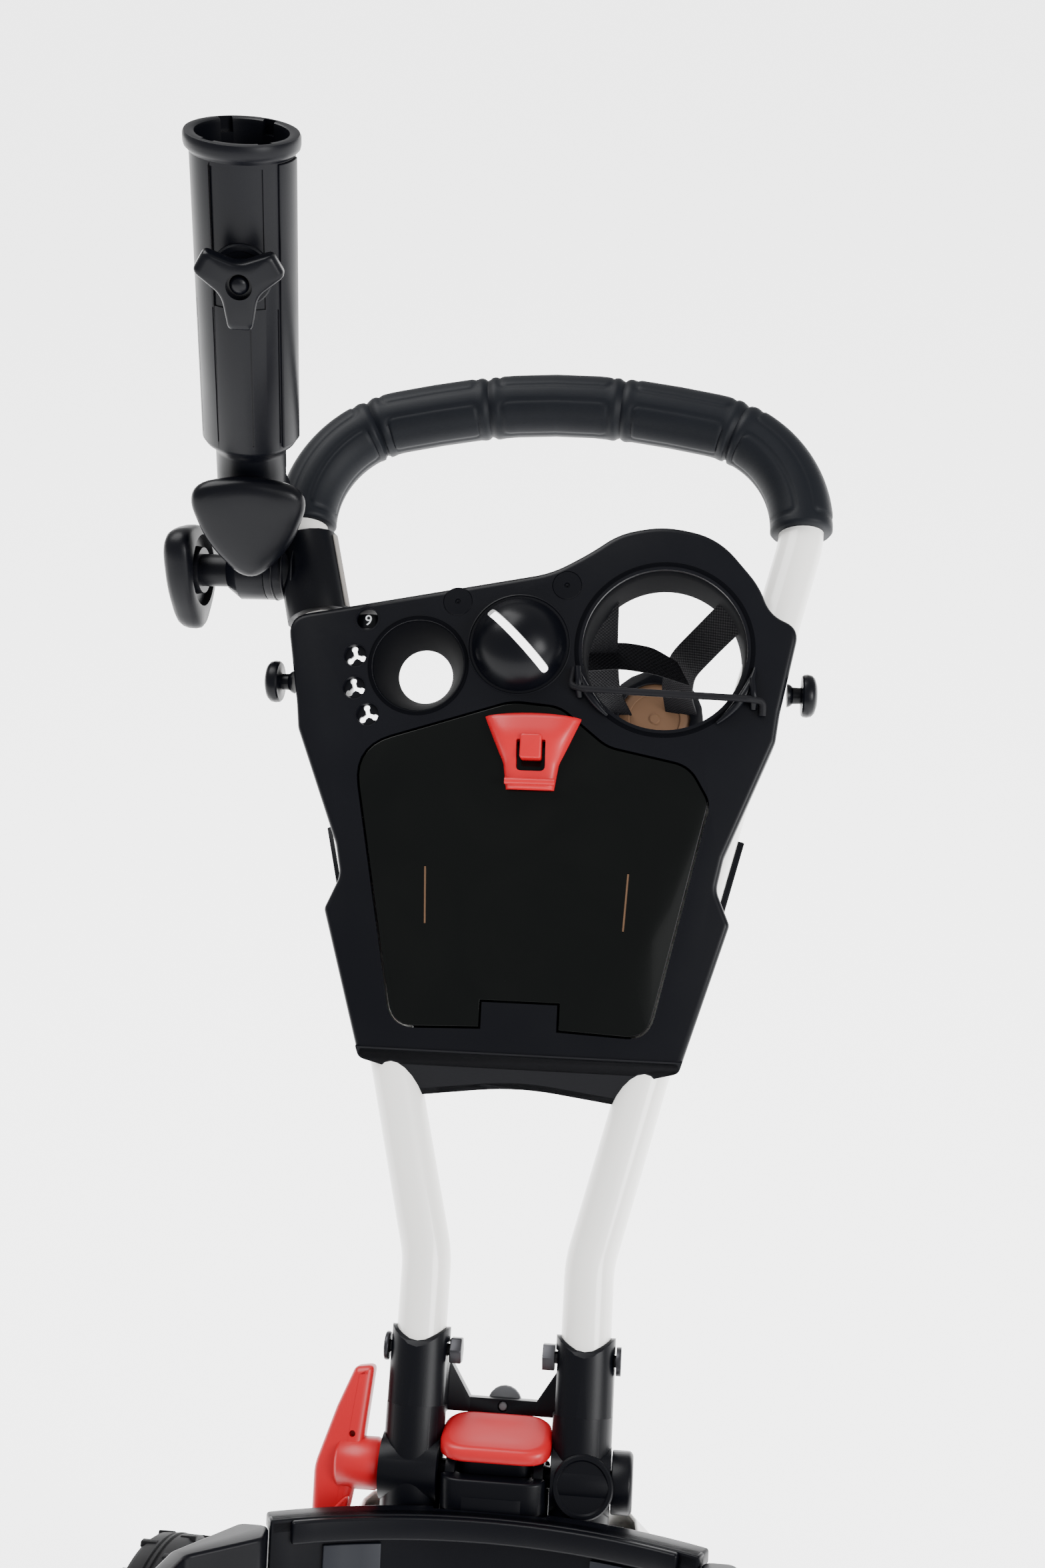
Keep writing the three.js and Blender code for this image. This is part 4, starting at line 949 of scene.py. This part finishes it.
done(side_knob, PITCH @ shift(-201.5, 0, 0) @ turn(-90, "Y"), "side_knob", moulding, "umbrella_side_knob",
     smooth=50)
star = domed("tube_knob_head", three_cornered(23.6, 10.5, 3.2, 14, 15, start=-90), [
    (0.6, 0), (0.94, 0.3), (1, 1.6), (1, 5.6), (0.975, 7.4), (0.92, 8.5), (0.82, 9.1), (0.4, 9.2)])
cut(star, bar("recess", 6.5, 5.4, 12))
together(star, spun("centre_dome", [(0, 5.2), (5, 5.2), (4.6, 6.8), (3.4, 8), (1.8, 8.6), (0, 8.8)], 32))
done(star, HOLDER @ shift(0, -34.7, KNOB_UP) @ FACING_FRONT, "tube_knob", smooth_moulding,
     "umbrella_tube_knob",
     smooth=50)

# %% [markdown]
# ## Hinge
# The red button's cap slopes to the front and wears a raised oval with two chevrons. The slope rules out a
# plain extrusion, so rings that lean more and more make the cap. Its stem and the collar that guides it are
# black.

# %% Push button
def oval(half_wide, half_deep, share=0.8):
    reach = half_deep * share
    return rounded([(-half_wide, -half_deep, reach), (half_wide, -half_deep, reach),
                    (half_wide, half_deep, reach), (-half_wide, half_deep, reach)], 10)


BUTTON = MAIN @ ALONG_Y      # z runs up the main tube, -y faces the bag
cap_rings = []
for scale, share in ((0.86, 0), (0.96, 0.05), (1, 0.2), (1, 0.7), (0.975, 0.88), (0.92, 0.98), (0.84, 1),
                     (0.5, 0.97), (0.1, 0.96)):
    ring = []
    for point in oval(27.6, 17):
        lean = (17 - point.y * scale) / 34
        ring.append((point.x * scale, point.y * scale,
                     (12 - 2 * lean) * (1 - share) + (24 - 7 * lean) * share))
    cap_rings.append(ring)
cap = skin("push_button_cap", cap_rings)
SLOPE = shift(0, 0, 20.25) @ turn(math.degrees(math.atan(7 / 34)), "X")
ring_route = [(18.5 * math.cos(math.radians(a)), 8.2 * math.sin(math.radians(a)), 0) for a in range(0, 360,
                                                                                                    6)]
together(cap, moved(rod("cap_oval", ring_route + ring_route[:1], 0.7, 4), SLOPE),
         *[moved(rod("cap_chevron", [(-5, 1.6 + k, 0), (0, -2.4 + k, 0), (5, 1.6 + k, 0)], 0.6, 4), SLOPE)
           for k in (-1.6, 1.8)])
cut(cap, box("lug_pocket", (-25.2, -10.6, 2), (25.2, 10.6, 17.4)))
done(cap, BUTTON, "button", red_moulding, "push_button", smooth=50)
done(plate("push_button_stem", oval(18, 9), -14, 12.5), BUTTON, "button", moulding)
collar = plate("hinge_collar", oval(26.6, 19.6, 0.6), -12, 3, top=1.4)
cut(collar, plate("collar_bore", oval(20.6, 12, 0.7), -20, 9),
    box("lug_room", (-40, -12, -20), (-19, 12, 9)),
    box("lug_room", (19, -12, -20), (40, 12, 9)))
done(collar, BUTTON, "frame", moulding)

# %% [markdown]
# ### Clamp lever
# The lever is a flat crescent on a round hub. Its outline is extruded and both rims are rounded over, as on
# a part that a hand pulls, and a rib stiffens its lower horn.

# %% Clamp lever
crescent = rounded([(-64, 47, 3), (-74, 45.5, 4), (-82, 26, 20), (-91, -2, 24), (-90, -33, 8), (-76, -35, 5),
                    (-72, -20, 8), (-67, 10, 30)])
LEVER_TILT = HANDLE @ shift(0, 0, -7)
lever = plate("clamp_lever_wing", crescent, 0, 14, top=4, bottom=4, segments=5)
cut(lever, moved(bar("small_hole", 1.6, 9, 20), shift(-72.5, 14, 0)))
rib = plate("lever_rib", rounded([(-86, -28, 2), (-74, -32, 2), (-71, -12, 2)]), 12, 15.4, top=1)
hub = spun("lever_hub", [(0, -80), (10.5, -80), (12.4, -78), (12.4, -60), (11.2, -57.8), (0, -57.8)], 64)
moved(hub, ALONG_X, shift(0, 0, 7))
done(together(lever, rib, hub), LEVER_TILT, "lever", red_moulding, "clamp_lever", smooth=50)

# %% [markdown]
# ### Sleeves
# The sleeves that hold the handle tubes reach down past the pivot, and a thin ring marks the right one. The
# yoke that joins them has the right shape already, so its solid is copied and only its edges are rounded.

# %% Sleeves
refined("handle_yoke", moulding, 1.6, segments=3)
for side, name in ((-1, "left"), (1, "right")):
    skirt = spun(f"sleeve_skirt_{name}", [(11, -25), (14.2, -25), (15, -23), (15, 30), (11, 30)], 64)
    done(moved(skirt, ALONG_Y), HANDLE @ shift(HALF_GAP * side, 0, 0), "handle", moulding)
ring = spun("sleeve_boss", [(0, -8), (15, -8), (15, 0.8), (14.2, 1.7), (12.6, 1.7), (11.8, 0.8),
                            (0, 0.8)], 64)
done(ring, HANDLE @ shift(44, -1, 14.4), "handle", moulding)

# %% [markdown]
# ## Bag cradle
# The bag rests on a curved wall with a thick dark rim. The wall's raised frame leaves two sunk panels beside
# a broad middle column. All of it bends about one axis, so every member is a curved slab with its edges
# rounded.

# %% Cradle
CRADLE = MAIN @ shift(0, 0, 263) @ ALONG_Y
cradle = sector("bag_cradle_wall", 233, 239, -72, -10, 154.6, 205.4)
frame_parts = [sector("rim", 233, 245, -17, -10, 154.6, 205.4),
               sector("rim_lip", 229.6, 234, -21, -10.4, 157, 203),
               sector("foot_rim", 233, 244, -72, -65, 154.6, 205.4),
               sector("foot_lip", 230.2, 234, -71.6, -64, 157, 203),
               sector("column", 227.6, 234, -70, -12, 172.4, 187.6)]
frame_parts += [sector("post", 230, 234, -70, -12, start, start + 3.4) for start in (157, 199.6, 168, 188.6)]
for part in frame_parts:
    softened(part, 1.4, 3)
cradle = together(softened(cradle, 0.8), *frame_parts)
cut(cradle, moved(box("block_room", (-27.8, -100, -200), (27.8, 40, 23.4)), shift(0, 0, -263),
                  ALONG_Y.inverted()))
done(cradle, CRADLE, "frame", moulding, "bag_cradle")
# The two sunk panels wear the lighter blue-black copy of the moulding, whose colour is painted blue sheen.
for side, start in (("left", 160.8), ("right", 192.4)):
    panel = softened(sector(f"cradle_panel_{side}", 230.8, 232.9, -62, -22.5, start, start + 6.8), 0.5)
    done(panel, CRADLE, "frame", panel_moulding_painted_sheen)
for name in ("bag_arm_left", "bag_arm_right"):
    refined(name, moulding, 2.4, segments=4)

# %% [markdown]
# ## Umbrella clamp
# The clamp's solid is refined later with the rest. Three fine seams and a pale grey slab, where it grips the
# tube, are all that it lacks, and each is a small ring or slab. The slab is painted shade: it stands for the
# white tube seen in shade there.

# %% Seams of the umbrella clamp and a slab of painted tube shade
for number, x in enumerate((-157.5, -151.5, -145.5)):
    seam = spun(f"clamp_seam_{number + 1}", [(14, -0.5), (16.9, -0.5), (17.1, 0), (16.9, 0.5),
                                             (14, 0.5)], 64)
    done(seam, PITCH @ shift(x, 0, 0) @ ALONG_X, "handle", smooth_moulding)
SPLAY_ANGLE = math.degrees(math.atan(SPLAY))
CLAMP = HANDLE @ shift(-splayed_x(CLAMP_UP), CLAMP_UP, 0) @ turn(SPLAY_ANGLE, "Z") @ ALONG_Y
# The slab's pale grey is painted shade of the white tube beside the clamp.
tube_shade_slab = softened(sector("clamp_tube_shade_slab", 18.2, 19.1, -27, 18, 66, 84), 0.3)
done(tube_shade_slab, CLAMP, "handle", tube_shade_paint)

# %% [markdown]
# ## Wheels
# Each tyre is one turned band with moulded blocks round its shoulders. One function makes a block and turns
# it to its place, on either side in turn. Each rim is a dish with a thick hub. Six spokes could be built one
# by one, but cutting rounded windows through the web leaves them with their fillets.

# %% Wheels
ROUND = 120
BLOCKS = 40
SPOKES = 6
HUB_RADIUS = {"left": 20, "right": 20, "front": 15}


def both_sides(profile):
    """A wheel's profile from its left side to its middle, and the same mirrored back to its right side."""
    return profile + [(radius, -height) for radius, height in reversed(profile)]


def tyre_band(side, radius, half, rim_radius):
    wall = radius - rim_radius
    return spun(f"{side}_tyre_band", both_sides([
        (rim_radius + 0.4, -half * 0.86), (rim_radius + 3, -half), (radius - wall * 0.45, -half),
        (radius - 4, -half * 0.86), (radius - 1.4, -half * 0.66), (radius - 1, -4), (radius - 2.6, -3),
        (radius - 2.6, -1.6), (radius - 0.6, -1)]), ROUND)


def tread_block(number, radius, half):
    block = box("tread", (-3.4, -half * 0.94, radius - 5), (3.4, -half * 0.3, radius - 0.3))
    if number % 2:
        moved(block, turn(180, "Z"))
    return moved(softened(block, 0.8, 2), ALONG_Y, turn(360 / BLOCKS * number, "Z"))


def rim_dish(side, half, hub, rim_radius):
    inside = rim_radius - 9
    rim = spun(f"{side}_rim_dish", both_sides([
        (6.8, -half), (hub, -half), (hub + 2, -half * 0.9), (hub + 8, -5), (inside, -3),
        (inside, -half * 0.3),
        (rim_radius - 7, -half * 0.8), (rim_radius - 2.4, -half * 0.9), (rim_radius, -half * 0.84)]), ROUND)
    low, high = hub + 14, rim_radius - 15
    corners = [(-9, low, 5), (9, low, 5), (high * 0.40, high * 0.90, 8), (-high * 0.40, high * 0.90, 8)]
    for k in range(SPOKES):
        cut(rim, moved(plate("window", rounded(corners, 5), -40, 40), turn(360 / SPOKES * k, "Z")))
    return rim


def wheel(side, centre, radius, half, hub, rim_radius):
    body = f"wheel_{side}"
    place = Matrix.Translation(centre) @ ALONG_X
    tyre = tyre_band(side, radius, half, rim_radius)
    blocks = [tread_block(number, radius, half) for number in range(BLOCKS)]
    done(together(tyre, *blocks), place, body, rubber, f"{side}_tyre")
    cap = spun("hub_cap", [(0, half - 1), (hub - 3, half - 1), (hub - 4, half + 1.2), (hub - 7, half + 2),
                           (0, half + 2.2)], 48)
    done(together(rim_dish(side, half, hub, rim_radius), cap), place, body, smooth_moulding, f"{side}_rim")


for side in ("left", "right", "front"):
    low, high = (Vector(corner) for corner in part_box(f"{side}_tyre"))
    rim_low, rim_high = (Vector(corner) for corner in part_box(f"{side}_rim"))
    tyre_size = (high - low) / 2 * 1000
    wheel(side, (low + high) / 2, tyre_size.z, tyre_size.x, HUB_RADIUS[side],
          (rim_high.z - rim_low.z) / 2 * 1000 - 3)

# %% [markdown]
# ## The remaining solids
# Tubes, axles, bolts, brackets, the fork and the brake already have their true shapes. Modelling them again
# would gain nothing, so each solid that no piece stands for yet is copied, cleaned and given rounded edges,
# and its slot in the record chooses its finish.

# %% Remaining solids
FINISHES = {"white_paint": enamel, "black_plastic": moulding, "soft_grip": grip_foam,
            "red_plastic": red_moulding,
            "smoked_plastic": smoked, "webbing": webbing, "rubber_cord": elastic, "tyre": rubber,
            "steel": dark_steel, "grey_plastic": grey_moulding}
slots = {entry["node"]: entry["material_slot"] for entry in frame["record"]["subparts"]}
for node in sorted(set(nodes) - stood_for):
    refined(node, FINISHES[slots[node]])

# %% [markdown]
# ## Floor, light and camera
# A plain pale floor and a pale room keep the cart's outline clear. A key lamp behind and above, a fill and a
# front lamp are large and soft, because small lamps would put hard glints on the satin black.

# %% Floor
bpy.ops.mesh.primitive_plane_add(size=40, location=(0, 0, 0))
floor = bpy.context.active_object
floor.name = "floor"
floor_material = bpy.data.materials.new("pale_floor")
floor_material.use_nodes = True
floor_shader = floor_material.node_tree.nodes["Principled BSDF"].inputs
floor_shader["Base Color"].default_value = (0.96, 0.96, 0.96, 1)
floor_shader["Roughness"].default_value = 0.9
floor_shader["Emission Color"].default_value = (1, 1, 1, 1)
floor_shader["Emission Strength"].default_value = 3.2
floor.data.materials.append(floor_material)
print("floor 40 m wide")


# %% Light
def lamp(name, power, size, place, target):
    light = bpy.data.lights.new(name, "AREA")
    light.energy = power
    light.size = size
    lamp_object = bpy.data.objects.new(name, light)
    bpy.context.scene.collection.objects.link(lamp_object)
    lamp_object.location = place
    lamp_object.rotation_euler = (Vector(target) - Vector(place)).to_track_quat("-Z", "Y").to_euler()
    print("lamp", name, power, "W")


lamp("key", 70, 1.6, (-0.9, 0.9, 2.9), (0, 0.3, 0.9))
lamp("fill", 25, 2.0, (1.6, -1.4, 2.2), (0, 0.2, 0.8))
lamp("front", 42, 0.9, (1.8, -0.8, 1.8), (0, 0.2, 0.85))
ROOM_LIGHT = 0.7       # how brightly the room lights the cart
ROOM_WHITE = 3.3       # how much brighter its walls are where the camera sees them
room = bpy.data.worlds.new("soft_room")
room.use_nodes = True
walls = room.node_tree.nodes["Background"].inputs
walls["Color"].default_value = (1, 1, 1, 1)
light_path = room.node_tree.nodes.new("ShaderNodeLightPath")
brightness = room.node_tree.nodes.new("ShaderNodeMath")
brightness.operation = "MULTIPLY_ADD"
brightness.inputs[1].default_value = ROOM_WHITE
brightness.inputs[2].default_value = ROOM_LIGHT
room.node_tree.links.new(light_path.outputs["Is Camera Ray"], brightness.inputs[0])
room.node_tree.links.new(brightness.outputs[0], walls["Strength"])
bpy.context.scene.world = room

# %% [markdown]
# ## Camera
# The camera looks down at the console from in front of the cart, a little to the right, with a 35 mm lens.
# Its own right, up and back directions are written as a turn, and its place is given from the fold axis.

# %% Camera
camera = bpy.data.objects.new("camera", bpy.data.cameras.new("camera"))
bpy.context.scene.collection.objects.link(camera)
camera.data.lens = 35
camera.data.sensor_fit = "VERTICAL"
camera.data.sensor_height = 36
right = Vector((0.99442, 0.10036, -0.03259))
up = Vector((-0.03374, 0.59508, 0.80296))
back = Vector((0.09998, -0.79737, 0.59515))
camera.matrix_world = Matrix.Translation(FOLD + Vector((0.0775, -0.3995, 0.726))) @ Matrix(
    (right, up, back)).transposed().to_4x4()
bpy.context.scene.camera = camera
print("camera at", [round(value, 3) for value in camera.matrix_world.translation])
